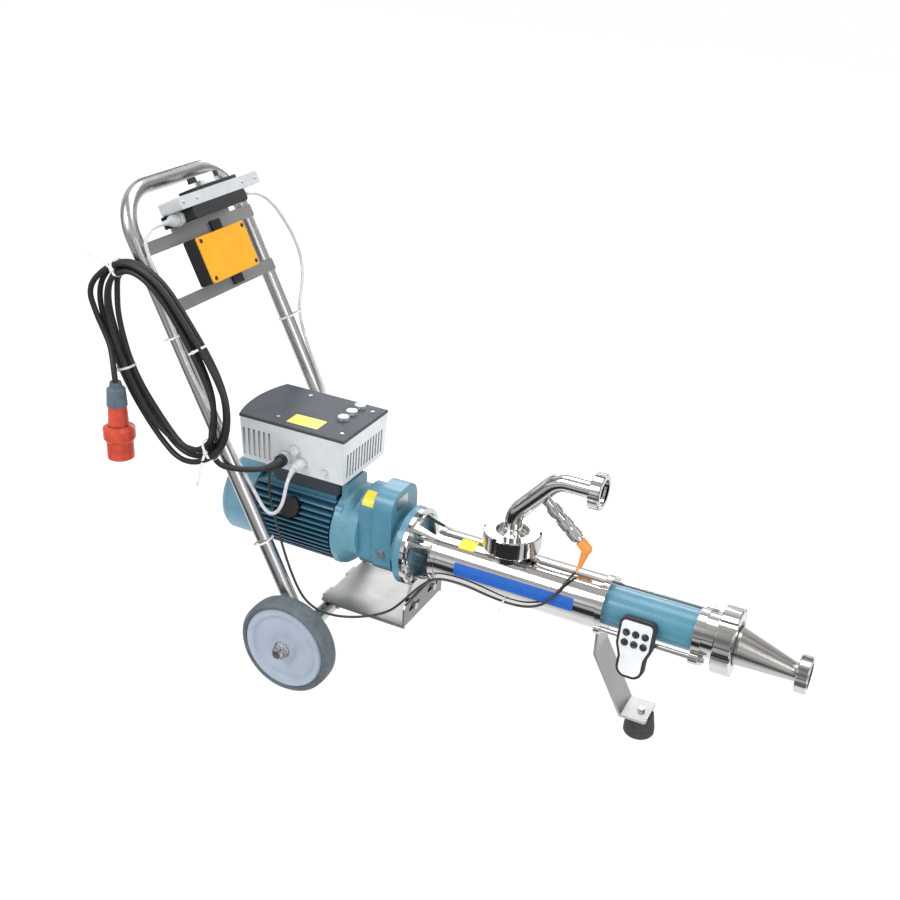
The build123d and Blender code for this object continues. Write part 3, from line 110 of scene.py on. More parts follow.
class Nodes:
    """Adds nodes to a tree and links what is passed by input name."""

    def __init__(self, tree):
        self.tree = tree

    def put(self, socket, value):
        if isinstance(value, bpy.types.NodeSocket):
            self.tree.links.new(value, socket)
        elif isinstance(value, (tuple, list)) and socket.type == "RGBA" and len(value) == 3:
            socket.default_value = (*value, 1)
        else:
            socket.default_value = value

    def add(self, kind, **inputs):
        node = self.tree.nodes.new(kind)
        for name, value in inputs.items():
            self.put(node.inputs[name.replace("_", " ")], value)
        return node

    def math(self, operation, a, b=0.0, clamp=False):
        node = self.tree.nodes.new("ShaderNodeMath")
        node.operation = operation
        node.use_clamp = clamp
        self.put(node.inputs[0], a)
        self.put(node.inputs[1], b)
        return node.outputs[0]

    def mix(self, blend, factor, a, b):
        node = self.tree.nodes.new("ShaderNodeMix")
        node.data_type = "RGBA"
        node.blend_type = blend
        self.put(node.inputs[0], factor)
        self.put(node.inputs[6], a)
        self.put(node.inputs[7], b)
        return node.outputs[2]

    def ramp(self, value, stops, scale=None):
        if scale:
            value = self.math("MULTIPLY_ADD", value, scale[0])
            self.put(self.tree.nodes[-1].inputs[2], scale[1])
        node = self.tree.nodes.new("ShaderNodeValToRGB")
        marks = node.color_ramp.elements
        while len(marks) < len(stops):
            marks.new(0.5)
        for mark, (at, colour) in zip(marks, stops):
            mark.position = at
            mark.color = (*colour, 1) if len(colour) == 3 else colour
        self.put(node.inputs[0], value)
        return node.outputs[0]

    def grey(self, value, low, high):
        """A 0 to 1 value turned into one between low and high."""
        node = self.tree.nodes.new("ShaderNodeMapRange")
        self.put(node.inputs[0], value)
        node.inputs[3].default_value = low
        node.inputs[4].default_value = high
        return node.outputs[0]

    def noise(self, vector, scale, detail=3.0, rough=0.5, stretch=None):
        if stretch:
            mapping = self.add("ShaderNodeMapping", Vector=vector)
            mapping.inputs["Scale"].default_value = stretch
            vector = mapping.outputs[0]
        node = self.add("ShaderNodeTexNoise", Vector=vector, Scale=scale, Detail=detail, Roughness=rough)
        return node.outputs["Fac"]


studio_world()


def floor():
    """A wide pale floor. Mirrors see strips of card on it, which give polished steel its bands."""
    mesh = bpy.data.meshes.new("floor")
    mesh.from_pydata([(-9, -9, 0), (9, -9, 0), (9, 9, 0), (-9, 9, 0)], [], [(0, 1, 2, 3)])
    obj = bpy.data.objects.new("floor", mesh)
    obj.location.z = -0.0005
    scene.collection.objects.link(obj)
    material = bpy.data.materials.new("floor")
    material.use_nodes = True
    nt = material.node_tree
    nt.nodes.clear()
    n = Nodes(nt)
    place = n.add("ShaderNodeTexCoord").outputs["Object"]
    pale = n.ramp(n.noise(place, 3.0), [(0, (0.80, 0.80, 0.81)), (1, (0.84, 0.84, 0.84))])
    across = n.add("ShaderNodeSeparateXYZ", Vector=place).outputs["Y"]
    cards = n.ramp(across, [(0.0, (0.5, 0.5, 0.5)), (0.28, (0.34, 0.34, 0.35)), (0.40, (0.025, 0.024, 0.023)),
                            (0.66, (0.03, 0.028, 0.027)), (0.72, (0.5, 0.5, 0.5)), (0.82, (1.0, 1.0, 1.0)),
                            (1.0, (0.9, 0.9, 0.9))], scale=(0.6, 0.9))
    paths = n.add("ShaderNodeLightPath")
    tone = n.mix("MIX", paths.outputs["Is Glossy Ray"], (1, 1, 1, 1), cards)
    lit = n.add("ShaderNodeBsdfDiffuse", Color=n.mix("MULTIPLY", 1.0, pale, tone))
    dark = n.add("ShaderNodeBsdfDiffuse", Color=(0, 0, 0))
    share = n.add("ShaderNodeMixShader", Fac=FLOOR_SHADOW)
    nt.links.new(dark.outputs[0], share.inputs[1])
    nt.links.new(lit.outputs[0], share.inputs[2])
    glow = n.add("ShaderNodeEmission", Color=tone, Strength=FLOOR_GLOW)
    both = n.add("ShaderNodeAddShader")
    nt.links.new(share.outputs[0], both.inputs[0])
    nt.links.new(glow.outputs[0], both.inputs[1])
    out = n.add("ShaderNodeOutputMaterial")
    nt.links.new(both.outputs[0], out.inputs[0])
    mesh.materials.append(material)


FLOOR_SHADOW = 0.2
FLOOR_GLOW = 0.93
floor()

# ---- Materials ------------------------------------------------------------


def rgb(r, g, b):
    """A colour given as 0 to 255 screen values, turned into light values."""
    return tuple((c / 255 / 12.92) if c / 255 < 0.04045 else ((c / 255 + 0.055) / 1.055) ** 2.4 for c in (r, g, b))


def shade(colour, k):
    return tuple(min(1.0, c * k) for c in colour)


class Finish(Nodes):
    """A material being built: its place in the object, its base colour, roughness and bump."""

    def __init__(self, name):
        self.material = bpy.data.materials.new(name)
        self.material.use_nodes = True
        super().__init__(self.material.node_tree)
        self.shader = self.tree.nodes["Principled BSDF"]
        self.place = self.add("ShaderNodeTexCoord").outputs["Object"]
        self.axes = self.add("ShaderNodeSeparateXYZ", Vector=self.place).outputs

    def set(self, **inputs):
        for name, value in inputs.items():
            self.put(self.shader.inputs[name.replace("_", " ")], value)

    def cloud(self, scale, dark, light, low=0.3, high=0.7, stretch=None):
        """Slow changes of colour over the surface."""
        return self.ramp(self.noise(self.place, scale, 4.0, 0.55, stretch), [(low, dark), (high, light)])

    def edge(self, radius, low=0.02, high=0.25):
        """1 along sharp edges and 0 on open faces."""
        rounded = self.add("ShaderNodeBevel", Radius=radius)
        rounded.samples = 4
        dot = self.tree.nodes.new("ShaderNodeVectorMath")
        dot.operation = "DOT_PRODUCT"
        self.put(dot.inputs[0], rounded.outputs[0])
        self.put(dot.inputs[1], self.add("ShaderNodeNewGeometry").outputs["Normal"])
        turned = self.math("SUBTRACT", 1.0, dot.outputs["Value"])
        return self.ramp(turned, [(low, (0, 0, 0)), (high, (1, 1, 1))])

    def rounding(self, radius):
        node = self.add("ShaderNodeBevel", Radius=radius)
        node.samples = 4
        return node.outputs[0]

    def relief(self, *layers, radius=0.0006):
        """Bump layers, each (height, strength, distance), over edges that are rounded by radius."""
        normal = self.rounding(radius)
        for height, strength, distance in layers:
            normal = self.add("ShaderNodeBump", Height=height, Strength=strength, Distance=distance,
                              Normal=normal).outputs[0]
        self.put(self.shader.inputs["Normal"], normal)

    def within(self, value, low, high, soft=0.0004):
        """1 where value lies between low and high, with a short soft step at each end."""
        rise = self.step(value, low, soft)
        fall = self.step(value, high, soft)
        return self.math("SUBTRACT", rise, fall, clamp=True)

    def step(self, value, at, soft=0.0004):
        return self.math("DIVIDE", self.math("SUBTRACT", value, at - soft), 2 * soft, clamp=True)


def steel(name, tone, rough, line_scale, line_bump, smear=0.05, warm=0.0):
    """Stainless steel: fine grinding or polishing lines, uneven sheen and faint smears."""
    f = Finish(name)
    tint = (tone * (1 + warm), tone, tone * (1 - warm))
    lines = f.noise(f.place, line_scale, 3.0, 0.6, stretch=(0.08, 1, 1))
    cross = f.noise(f.place, line_scale * 0.7, 2.0, 0.6, stretch=(1, 1, 0.1))
    smears = f.noise(f.place, 26, 5.0, 0.6)
    grain = f.math("MULTIPLY", f.math("ADD", lines, cross), 0.5)
    base = f.mix("MULTIPLY", 0.35, f.cloud(9, shade(tint, 0.93), shade(tint, 1.05)), f.ramp(
        grain, [(0.35, (0.8, 0.8, 0.8)), (0.65, (1, 1, 1))]))
    base = f.mix("MIX", f.math("MULTIPLY", f.edge(0.0009), 0.35), base, (*shade(tint, 1.15), 1))
    f.set(Base_Color=base, Metallic=1.0)
    f.set(Roughness=f.math("ADD", f.grey(smears, rough - smear, rough + smear), f.grey(grain, -0.02, 0.04)))
    f.relief((grain, line_bump, 0.0004), (smears, 0.03, 0.0006))
    return f.material


def enamel(name, colour, rough=0.34, peel=0.10, wear=0.35, grime=0.25, coat=0.25):
    """Sprayed paint on castings: orange peel, dusty hollows and edges rubbed lighter."""
    f = Finish(name)
    base = f.cloud(14, shade(colour, 0.88), shade(colour, 1.10))
    spots = f.ramp(f.noise(f.place, 210, 4.0, 0.65), [(0.35, (1 - grime,) * 3), (0.55, (1, 1, 1))])
    base = f.mix("MULTIPLY", 0.6, base, spots)
    rubbed = f.math("MULTIPLY", f.edge(0.0012), f.grey(f.noise(f.place, 120, 3.0), 0.0, wear * 1.6))
    base = f.mix("MIX", rubbed, base, (*shade(colour, 1.9), 1))
    f.set(Base_Color=base, Roughness=f.grey(f.noise(f.place, 40, 4.0), rough - 0.08, rough + 0.12))
    f.set(Coat_Weight=coat, Coat_Roughness=0.15)
    f.relief((f.noise(f.place, 520, 2.0), peel, 0.0006), (f.noise(f.place, 60, 3.0), 0.06, 0.0015), radius=0.0012)
    return f.material


def moulded(name, colour, rough=0.5, texture=900, depth=0.12, mottle=0.08, coat=0.0, edge=0.2):
    """Moulded plastic: a fine spark-eroded grain, slightly worn and shiny on its edges."""
    f = Finish(name)
    grain = f.noise(f.place, texture, 3.0, 0.6)
    base = f.cloud(22, shade(colour, 1 - mottle), shade(colour, 1 + mottle))
    base = f.mix("MULTIPLY", 0.25, base, f.ramp(grain, [(0.3, (0.7, 0.7, 0.7)), (0.6, (1, 1, 1))]))
    base = f.mix("MIX", f.math("MULTIPLY", f.edge(0.0008), edge), base, (*shade(colour, 1.5), 1))
    f.set(Base_Color=base, Roughness=f.grey(f.noise(f.place, 35, 4.0), rough - 0.08, rough + 0.08))
    f.set(Coat_Weight=coat, Coat_Roughness=0.1)
    f.relief((grain, depth, 0.0003), radius=0.0008)
    return f.material


def rubbery(name, colour, rough=0.62, texture=600, depth=0.2, dust=0.12):
    """Rubber or soft PVC: dull, finely pitted and dusty."""
    f = Finish(name)
    base = f.cloud(30, shade(colour, 0.8), shade(colour, 1.2))
    dusty = f.ramp(f.noise(f.place, 90, 5.0, 0.7), [(0.45, (0, 0, 0)), (0.8, (dust,) * 3)])
    base = f.mix("ADD", 1.0, base, dusty)
    f.set(Base_Color=base, Roughness=f.grey(f.noise(f.place, 70, 3.0), rough - 0.1, rough + 0.15))
    f.relief((f.noise(f.place, texture, 3.0, 0.65), depth, 0.0003), radius=0.0009)
    return f.material


def paint_gap_shade(material, reach, dark):
    """Darkens a finish with painted shade where the surface faces close neighbours, as between cooling fins."""
    n = Nodes(material.node_tree)
    shader = n.tree.nodes["Principled BSDF"]
    base = shader.inputs["Base Color"].links[0].from_socket
    # Painted shade: the colour darkens where nearby surfaces would block the light.
    occluded_shade = n.add("ShaderNodeAmbientOcclusion", Distance=reach)
    occluded_shade.samples = 6
    shaded = n.mix("MULTIPLY", 1.0, base, n.ramp(occluded_shade.outputs["AO"], [(0.3, dark), (0.85, (1, 1, 1))]))
    n.put(shader.inputs["Base Color"], shaded)
    return material


def pump_blue(name, colour, **how):
    return enamel(name, rgb(*colour), **how)


MIRROR = steel("mirror_steel", 0.66, 0.08, 900, 0.015, smear=0.04, warm=0.015)
SATIN = steel("satin_steel", 0.58, 0.26, 1100, 0.06, smear=0.06)
PLATE = steel("ground_plate_steel", 0.27, 0.30, 1300, 0.10, smear=0.08, warm=0.01)
LEG = steel("bar_steel", 0.46, 0.38, 1300, 0.10, smear=0.08)
CONE = steel("turned_steel", 0.52, 0.24, 1500, 0.10, smear=0.05, warm=0.02)
ZINC = steel("zinc_plated_steel", 0.62, 0.30, 700, 0.05, smear=0.07, warm=0.01)
# The motor's paint carries painted shade between its cooling fins.
MOTOR = paint_gap_shade(pump_blue("motor_paint", (62, 118, 142), rough=0.42, grime=0.35), 0.012, (0.10, 0.16, 0.20))
GEAR = pump_blue("gearbox_paint", (84, 138, 160), rough=0.33)
COWL = pump_blue("cowl_paint", (104, 152, 172), rough=0.38, wear=0.2)
SHIELD = pump_blue("shield_paint", (100, 152, 171), rough=0.32)
STATOR = pump_blue("stator_paint", (78, 138, 160), rough=0.30, peel=0.05, wear=0.15, grime=0.1, coat=0.4)
SLATE = moulded("slate_lid", rgb(60, 65, 75), rough=0.52, texture=1100, depth=0.18)
BLACK = moulded("black_plastic", rgb(30, 31, 33), rough=0.48)
DARK = moulded("fan_plastic", rgb(34, 36, 38), rough=0.55)
GREY = moulded("pale_grey_plastic", rgb(190, 193, 194), rough=0.42, depth=0.08)
WHITE = moulded("white_plastic", rgb(228, 230, 232), rough=0.32, depth=0.05, coat=0.2)
YELLOW = moulded("yellow_cover", rgb(242, 164, 12), rough=0.40, depth=0.08, coat=0.1)
ORANGE = moulded("orange_plug", rgb(238, 150, 62), rough=0.35, depth=0.05, coat=0.2)
BUTTON = rubbery("button_rubber", rgb(28, 29, 31), rough=0.55)
RIM = moulded("rim_plastic", rgb(166, 178, 192), rough=0.45, texture=700, depth=0.10)
TYRE = rubbery("tyre_rubber", rgb(86, 96, 102), texture=420, depth=0.25, dust=0.05)
FOOT = rubbery("foot_rubber", rgb(44, 45, 47), texture=300, depth=0.3, dust=0.03)
FRAME_RUBBER = rubbery("remote_frame_rubber", rgb(40, 42, 48), depth=0.12, dust=0.02)
LINING = rubbery("stator_elastomer", rgb(214, 211, 202), depth=0.08)
SEAL = rubbery("seal_rubber", rgb(26, 26, 27))


def inverter_alloy():
    """Die-cast housing in a pale silver powder coat, with painted shade darkening its slots."""
    f = Finish("inverter_alloy")
    pale = rgb(226, 230, 231)
    grain = f.noise(f.place, 800, 3.0, 0.6)
    base = f.cloud(12, shade(pale, 0.9), shade(pale, 1.08))
    # Painted shade: near black deep in the slots and hollows, where the light is blocked.
    occluded_shade = f.add("ShaderNodeAmbientOcclusion", Distance=0.007)
    occluded_shade.samples = 4
    base = f.mix("MULTIPLY", 0.9, base, f.ramp(occluded_shade.outputs["AO"], [(0.25, (0.12, 0.13, 0.15)), (0.8, (1, 1, 1))]))
    f.set(Base_Color=base, Metallic=0.25, Roughness=f.grey(f.noise(f.place, 50, 3.0), 0.36, 0.55))
    f.relief((grain, 0.10, 0.0004), radius=0.001)
    return f.material


def clear_cap():
    """Round screw caps of smoky clear plastic over pale sockets."""
    f = Finish("clear_cap")
    base = f.cloud(160, rgb(120, 128, 126), rgb(208, 214, 210))
    f.set(Base_Color=base, Roughness=f.grey(f.noise(f.place, 200), 0.05, 0.2), Coat_Weight=0.6, Coat_Roughness=0.05)
    f.set(Transmission_Weight=0.25)
    f.relief((f.noise(f.place, 260, 2.0), 0.3, 0.0008))
    return f.material


def gland_plastic():
    """Cable glands: pale grey, but black at the mains entry and on the motor's vent cap."""
    f = Finish("gland_plastic")
    x, y, z = f.axes["X"], f.axes["Y"], f.axes["Z"]
    mains = f.math("MULTIPLY", f.within(x, -0.772, -0.7375), f.step(z, 0.405))
    mains = f.math("MULTIPLY", mains, f.math("SUBTRACT", 1.0, f.step(y, -0.095)))
    vent = f.math("MULTIPLY", f.within(x, -0.79, -0.70), f.math("SUBTRACT", 1.0, f.step(z, 0.392)))
    black = f.math("ADD", mains, vent, clamp=True)
    grain = f.noise(f.place, 900, 3.0)
    base = f.mix("MIX", black, f.cloud(60, rgb(188, 191, 193), rgb(214, 217, 219)), (*rgb(32, 32, 34), 1))
    f.set(Base_Color=base, Roughness=f.grey(grain, 0.35, 0.5))
    f.relief((grain, 0.08, 0.0003))
    return f.material


def plug_plastic():
    """Red plug body under a grey-blue gland cap, with a darker joint under its collar."""
    f = Finish("plug_plastic")
    z = f.axes["Z"]
    red = f.cloud(40, rgb(184, 56, 34), rgb(218, 78, 50))
    cap = f.cloud(60, rgb(74, 88, 100), rgb(98, 112, 124))
    base = f.mix("MIX", f.step(z, 0.531), red, cap)
    joint = f.within(z, 0.4895, 0.4925, 0.0006)
    base = f.mix("MIX", f.math("MULTIPLY", joint, 0.7), base, (*rgb(92, 22, 18), 1))
    grain = f.noise(f.place, 700, 3.0)
    f.set(Base_Color=base, Roughness=f.grey(f.noise(f.place, 60), 0.28, 0.45), Coat_Weight=0.15)
    f.relief((grain, 0.08, 0.0003))
    return f.material


def switch_plastic():
    """The isolator's black base, with the pale grey glands at its two ends."""
    f = Finish("switch_plastic")
    y = f.axes["Y"]
    out = f.math("ADD", f.math("MULTIPLY", f.axes["X"], math.cos(LEAN)), f.math("MULTIPLY", f.axes["Z"], math.sin(LEAN)))
    front = f.step(out, GLAND_FRONT)
    ends = f.math("ADD", f.math("SUBTRACT", 1.0, f.step(y, -0.0645)), f.step(y, 0.1045), clamp=True)
    grain = f.noise(f.place, 900, 3.0, 0.6)
    base = f.mix("MIX", f.math("MULTIPLY", front, ends), f.cloud(22, rgb(26, 27, 29), rgb(38, 39, 41)),
                 f.cloud(40, rgb(186, 189, 190), rgb(206, 209, 210)))
    f.set(Base_Color=base, Roughness=f.grey(f.noise(f.place, 35), 0.38, 0.55))
    f.relief((grain, 0.12, 0.0003), radius=0.0008)
    return f.material


def lever_plastic():
    """The switch's white lever, black towards both ends."""
    f = Finish("lever_plastic")
    off = f.math("ABSOLUTE", f.math("SUBTRACT", f.axes["Y"], LEVER_MIDDLE))
    base = f.mix("MIX", f.step(off, 0.027, 0.0006), f.cloud(60, rgb(206, 208, 209), rgb(228, 230, 231)),
                 (*rgb(30, 31, 33), 1))
    f.set(Base_Color=base, Roughness=f.grey(f.noise(f.place, 90), 0.3, 0.45))
    f.relief((f.noise(f.place, 800, 3.0), 0.08, 0.0003))
    return f.material


def jacket(name, colour, rough, lines=True):
    """A cable's extruded sheath: soft sheen, a faint fine bump and scuffs."""
    f = Finish(name)
    scuff = f.ramp(f.noise(f.place, 140, 5.0, 0.7), [(0.5, (0, 0, 0)), (0.85, shade(colour, 0.5))])
    base = f.mix("ADD", 1.0, f.cloud(45, shade(colour, 0.82), shade(colour, 1.12)), scuff)
    f.set(Base_Color=base, Roughness=f.grey(f.noise(f.place, 55, 3.0), rough - 0.1, rough + 0.1))
    f.relief((f.noise(f.place, 420, 3.0), 0.12, 0.0004), radius=0.0004)
    return f.material


def sticker_film(name, colour, rough=0.35):
    """A plain vinyl label with nothing printed on it: slightly uneven, with lifted, dusty edges."""
    f = Finish(name)
    base = f.cloud(80, shade(colour, 0.9), shade(colour, 1.06))
    specks = f.ramp(f.noise(f.place, 900, 2.0), [(0.28, (0.72, 0.72, 0.72)), (0.36, (1, 1, 1))])
    f.set(Base_Color=f.mix("MULTIPLY", 0.5, base, specks), Roughness=f.grey(f.noise(f.place, 120), rough - 0.1, rough + 0.1))
    f.set(Coat_Weight=0.3, Coat_Roughness=0.2)
    f.relief((f.noise(f.place, 150, 3.0), 0.1, 0.0006), radius=0.0002)
    return f.material


LEAN = math.radians(26.2)
GLAND_FRONT = (-0.662) * math.cos(LEAN) + 0.100 * math.sin(LEAN) + 0.0235
LEVER_MIDDLE = 0.031
SWITCH = switch_plastic()
ALLOY = inverter_alloy()
CLEAR = clear_cap()
GLAND = gland_plastic()
PLUG = plug_plastic()
LEVER = lever_plastic()
MAINS_JACKET = jacket("mains_jacket", rgb(34, 34, 36), 0.48)
GREY_JACKET = jacket("grey_jacket", rgb(196, 199, 203), 0.42)
SENSOR_JACKET = jacket("sensor_jacket", rgb(58, 56, 54), 0.45)
NYLON = moulded("white_nylon", rgb(226, 227, 226), rough=0.38, depth=0.05)
YELLOW_FILM = sticker_film("yellow_film", rgb(246, 214, 40))
BLUE_FILM = sticker_film("blue_film", rgb(26, 96, 186), rough=0.28)

FINISHES = {
    SATIN: ["axle", "handle_tube", "motor_shaft", "drive_shaft", "coupling_rod"],
    PLATE: ["base_plate"],
    LEG: ["front_leg", "handle_bars"],
    MIRROR: ["axle_cap_nuts", "lantern", "rotor", "suction_housing", "tie_rods", "discharge_flange",
             "discharge_nut", "hose_nuts", "inlet_nut", "inlet_elbow", "sensor_body"],
    CONE: ["reducer"],
    ZINC: ["bolts"],
    MOTOR: ["motor_housing"],
    GEAR: ["gearbox"],
    COWL: ["fan_cowl"],
    SHIELD: ["end_shield"],
    STATOR: ["stator_tube"],
    SLATE: ["inverter_base", "inverter_lid"],
    ALLOY: ["inverter_body"],
    CLEAR: ["lid_caps"],
    GLAND: ["cable_glands"],
    BLACK: ["receiver_box"],
    SWITCH: ["switch_box"],
    DARK: ["motor_fan"],
    GREY: ["switch_cover"],
    LEVER: ["switch_knob"],
    YELLOW: ["receiver_cover"],
    ORANGE: ["sensor_plug"],
    WHITE: ["remote_body"],
    FRAME_RUBBER: ["remote_frame"],
    BUTTON: [f"remote_button_{i}" for i in range(1, 7)],
    RIM: ["right_rim", "left_rim"],
    TYRE: ["right_tyre", "left_tyre"],
    FOOT: ["rubber_foot"],
    LINING: ["stator_lining"],
    SEAL: ["shaft_seal"],
    PLUG: ["power_plug"],
}
for material, names in FINISHES.items():
    for name in names:
        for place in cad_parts[name].material_slots:
            place.material = material

# ---- Pieces: shared building code ------------------------------------------


def add_piece(name, mesh, material, body="chassis", smooth=True):
    obj = bpy.data.objects.new(name, mesh)
    scene.collection.objects.link(obj)
    mesh.materials.append(material)
    for face in mesh.polygons:
        face.use_smooth = smooth
    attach(obj, body)
    return obj


def finished_mesh(name, bm):
    bmesh.ops.recalc_face_normals(bm, faces=bm.faces)
    mesh = bpy.data.meshes.new(name)
    bm.to_mesh(mesh)
    bm.free()
    return mesh


def directions(points):
    """At each point of a line: its heading, and two directions square to it that turn as little as they can."""
    headings = []
    for i in range(len(points)):
        a, b = points[max(0, i - 1)], points[min(len(points) - 1, i + 1)]
        headings.append((b - a).normalized())
    side = headings[0].orthogonal().normalized()
    found = []
    for heading in headings:
        side = (side - heading * side.dot(heading)).normalized()
        found.append((heading, side, heading.cross(side)))
    return found


def swept(name, points, radii, segments=28):
    """A closed round skin along a line, with its own radius at each point."""
    bm = bmesh.new()
    rings = []
    for point, radius, (_, side, other) in zip(points, radii, directions(points)):
        ring = []
        for k in range(segments):
            a = 2 * math.pi * k / segments
            ring.append(bm.verts.new(point + (side * math.cos(a) + other * math.sin(a)) * radius))
        rings.append(ring)
    for low, high in zip(rings, rings[1:]):
        for k in range(segments):
            j = (k + 1) % segments
            bm.faces.new((low[k], low[j], high[j], high[k]))
    bm.faces.new(rings[0][::-1])
    bm.faces.new(rings[-1])
    return finished_mesh(name, bm)


def strip(bm, points, across, width, thick, closed):
    """A flat strap along points: across is its wide direction, and its thickness is square to both."""
    rings = []
    count = len(points)
    for i, point in enumerate(points):
        if closed:
            heading = (points[(i + 1) % count] - points[i - 1]).normalized()
        else:
            heading = (points[min(i + 1, count - 1)] - points[max(i - 1, 0)]).normalized()
        wide = (across - heading * across.dot(heading)).normalized()
        out = heading.cross(wide)
        outline = [(-0.5, -0.3), (-0.5, 0.3), (-0.42, 0.5), (0.42, 0.5), (0.5, 0.3), (0.5, -0.3), (0.42, -0.5), (-0.42, -0.5)]
        rings.append([bm.verts.new(point + wide * (a * width) + out * (b * thick)) for a, b in outline])
    pairs = list(zip(rings, rings[1:])) + ([(rings[-1], rings[0])] if closed else [])
    for low, high in pairs:
        for k in range(8):
            j = (k + 1) % 8
            bm.faces.new((low[k], low[j], high[j], high[k]))
    if not closed:
        bm.faces.new(rings[0][::-1])
        bm.faces.new(rings[-1])


def rounded_loop(centre, side, other, half_side, half_other, count=40, power=3.0):
    """Points of a squarish ring round a bundle."""
    points = []
    for k in range(count):
        a = 2 * math.pi * k / count
        c, s = math.cos(a), math.sin(a)
        points.append(centre + side * (half_side * math.copysign(abs(c) ** (2 / power), c))
                      + other * (half_other * math.copysign(abs(s) ** (2 / power), s)))
    return points


def cable_tie(name, centre, along, side, half_side, half_other, width=0.0045, tail=None, thick=0.0014):
    """A nylon tie: the loop, its ratchet head, and a tail that runs off to the given point."""
    along = along.normalized()
    side = (side - along * side.dot(along)).normalized()
    other = along.cross(side)
    bm = bmesh.new()
    strip(bm, rounded_loop(centre, side, other, half_side, half_other), along, width, thick, True)
    head = centre + other * (half_other * HEAD_SIDE)
    made = bmesh.ops.create_cube(bm, size=1.0)["verts"]
    turn = Matrix((along, side, other)).transposed().to_4x4()
    size = Matrix.Diagonal((width * 1.5, width * 1.25, width * 0.9, 1))
    bmesh.ops.transform(bm, matrix=Matrix.Translation(head) @ turn @ size, verts=made)
    edges = {e for v in made for e in v.link_edges}
    bmesh.ops.bevel(bm, geom=list(edges), offset=width * 0.14, segments=2, affect="EDGES")
    if tail is not None:
        run = [head.lerp(tail, k / 12) + along * (0.0) + Vector((0, 0, 0.006 * math.sin(math.pi * k / 12)))
               for k in range(13)]
        strip(bm, run, along.cross((tail - head).normalized()).normalized().cross((tail - head).normalized()),
              width * 0.9, thick * 0.8, False)
    return add_piece(name, finished_mesh(name, bm), NYLON)


HEAD_SIDE = 1.0


def label(name, centre, normal, along, size, on, material, corner=0.002, lift=0.00025):
    """A thin film with round corners, laid onto the surface of a CAD node."""
    normal = Vector(normal).normalized()
    along = (Vector(along) - normal * Vector(along).dot(normal)).normalized()
    across = normal.cross(along)
    columns, rows = max(6, int(size[0] / 0.002)), max(4, int(size[1] / 0.002))
    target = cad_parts[on]
    bm = bmesh.new()
    grid = []
    for i in range(columns + 1):
        column = []
        for j in range(rows + 1):
            u, v = (i / columns - 0.5) * size[0], (j / rows - 0.5) * size[1]
            over_u, over_v = abs(u) - (size[0] / 2 - corner), abs(v) - (size[1] / 2 - corner)
            if over_u > 0 and over_v > 0 and math.hypot(over_u, over_v) > corner:
                k = corner / math.hypot(over_u, over_v)
                u = math.copysign(size[0] / 2 - corner + over_u * k, u)
                v = math.copysign(size[1] / 2 - corner + over_v * k, v)
            start = Vector(centre) + along * u + across * v + normal * 0.03
            hit, point, facing, _ = target.ray_cast(start, -normal, distance=0.09)
            if not hit:
                raise RuntimeError(f"{name} misses {on} at {tuple(round(c, 4) for c in start)}")
            column.append(bm.verts.new(point + facing * lift))
        grid.append(column)
    for i in range(columns):
        for j in range(rows):
            bm.faces.new((grid[i][j], grid[i + 1][j], grid[i + 1][j + 1], grid[i][j + 1]))
    return add_piece(name, finished_mesh(name, bm), material)


# ---- Cords ------------------------------------------------------------------


def mm(points):
    return [Vector(p) / 1000 for p in points]


def on_handle(y, along, off):
    """A point beside the handle: along is measured up its legs, off is in front of them."""
    return Vector((-662 - along * math.sin(LEAN) + off * math.cos(LEAN), y,
                   100 + along * math.cos(LEAN) + off * math.sin(LEAN))) / 1000


def cord_curve(name, points, diameter, material, replaced):
    """One open NURBS spline through free space, drawn as a round cord."""
    curve = bpy.data.curves.new(name, "CURVE")
    curve.dimensions = "3D"
    curve.bevel_depth = 1.0
    curve.bevel_resolution = 5
    curve.resolution_u = 8
    curve.use_fill_caps = True
    spline = curve.splines.new("NURBS")
    spline.points.add(len(points) - 1)
    for control, point in zip(spline.points, points):
        control.co = (*point, 1)
        control.radius = diameter / 2
    spline.order_u = 3
    spline.use_endpoint_u = True
    obj = bpy.data.objects.new(name, curve)
    scene.collection.objects.link(obj)
    curve.materials.append(material)
    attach(obj, "chassis")
    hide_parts(*replaced)
    return obj


def line_of(cord):
    """The points of a cord's own smooth line."""
    depth, cord.data.bevel_depth = cord.data.bevel_depth, 0
    caps, cord.data.use_fill_caps = cord.data.use_fill_caps, False
    mesh = bpy.data.meshes.new_from_object(cord.evaluated_get(bpy.context.evaluated_depsgraph_get()))
    line = [v.co.copy() for v in mesh.vertices]
    bpy.data.meshes.remove(mesh)
    cord.data.bevel_depth, cord.data.use_fill_caps = depth, caps
    return line


def length_of(line):
    return sum((b - a).length for a, b in zip(line, line[1:]))


def stretch_of(line, start, end, step):
    """Points spaced step apart along a line, between two distances from its first point."""
    points, travelled, at = [], 0.0, start
    for a, b in zip(line, line[1:]):
        run = (b - a).length
        while run > 0 and at <= travelled + run and at <= end + 1e-9:
            points.append(a.lerp(b, (at - travelled) / run))
            at += step
        travelled += run
    return points


def boot(name, line, start, length, wide, narrow, rings, material):
    """A tapered strain relief round the start of a cord, with soft ribs."""
    points = stretch_of(line, start, start + length, 0.0005)
    radii = []
    for k in range(len(points)):
        t = k / (len(points) - 1)
        rib = 0.5 - 0.5 * math.cos(2 * math.pi * rings * t)
        radii.append((wide + (narrow - wide) * t ** 0.8) * (1 - 0.09 * rib * min(1, 6 * (1 - t), 6 * t)))
    return add_piece(name, swept(name, points, radii, 32), material)


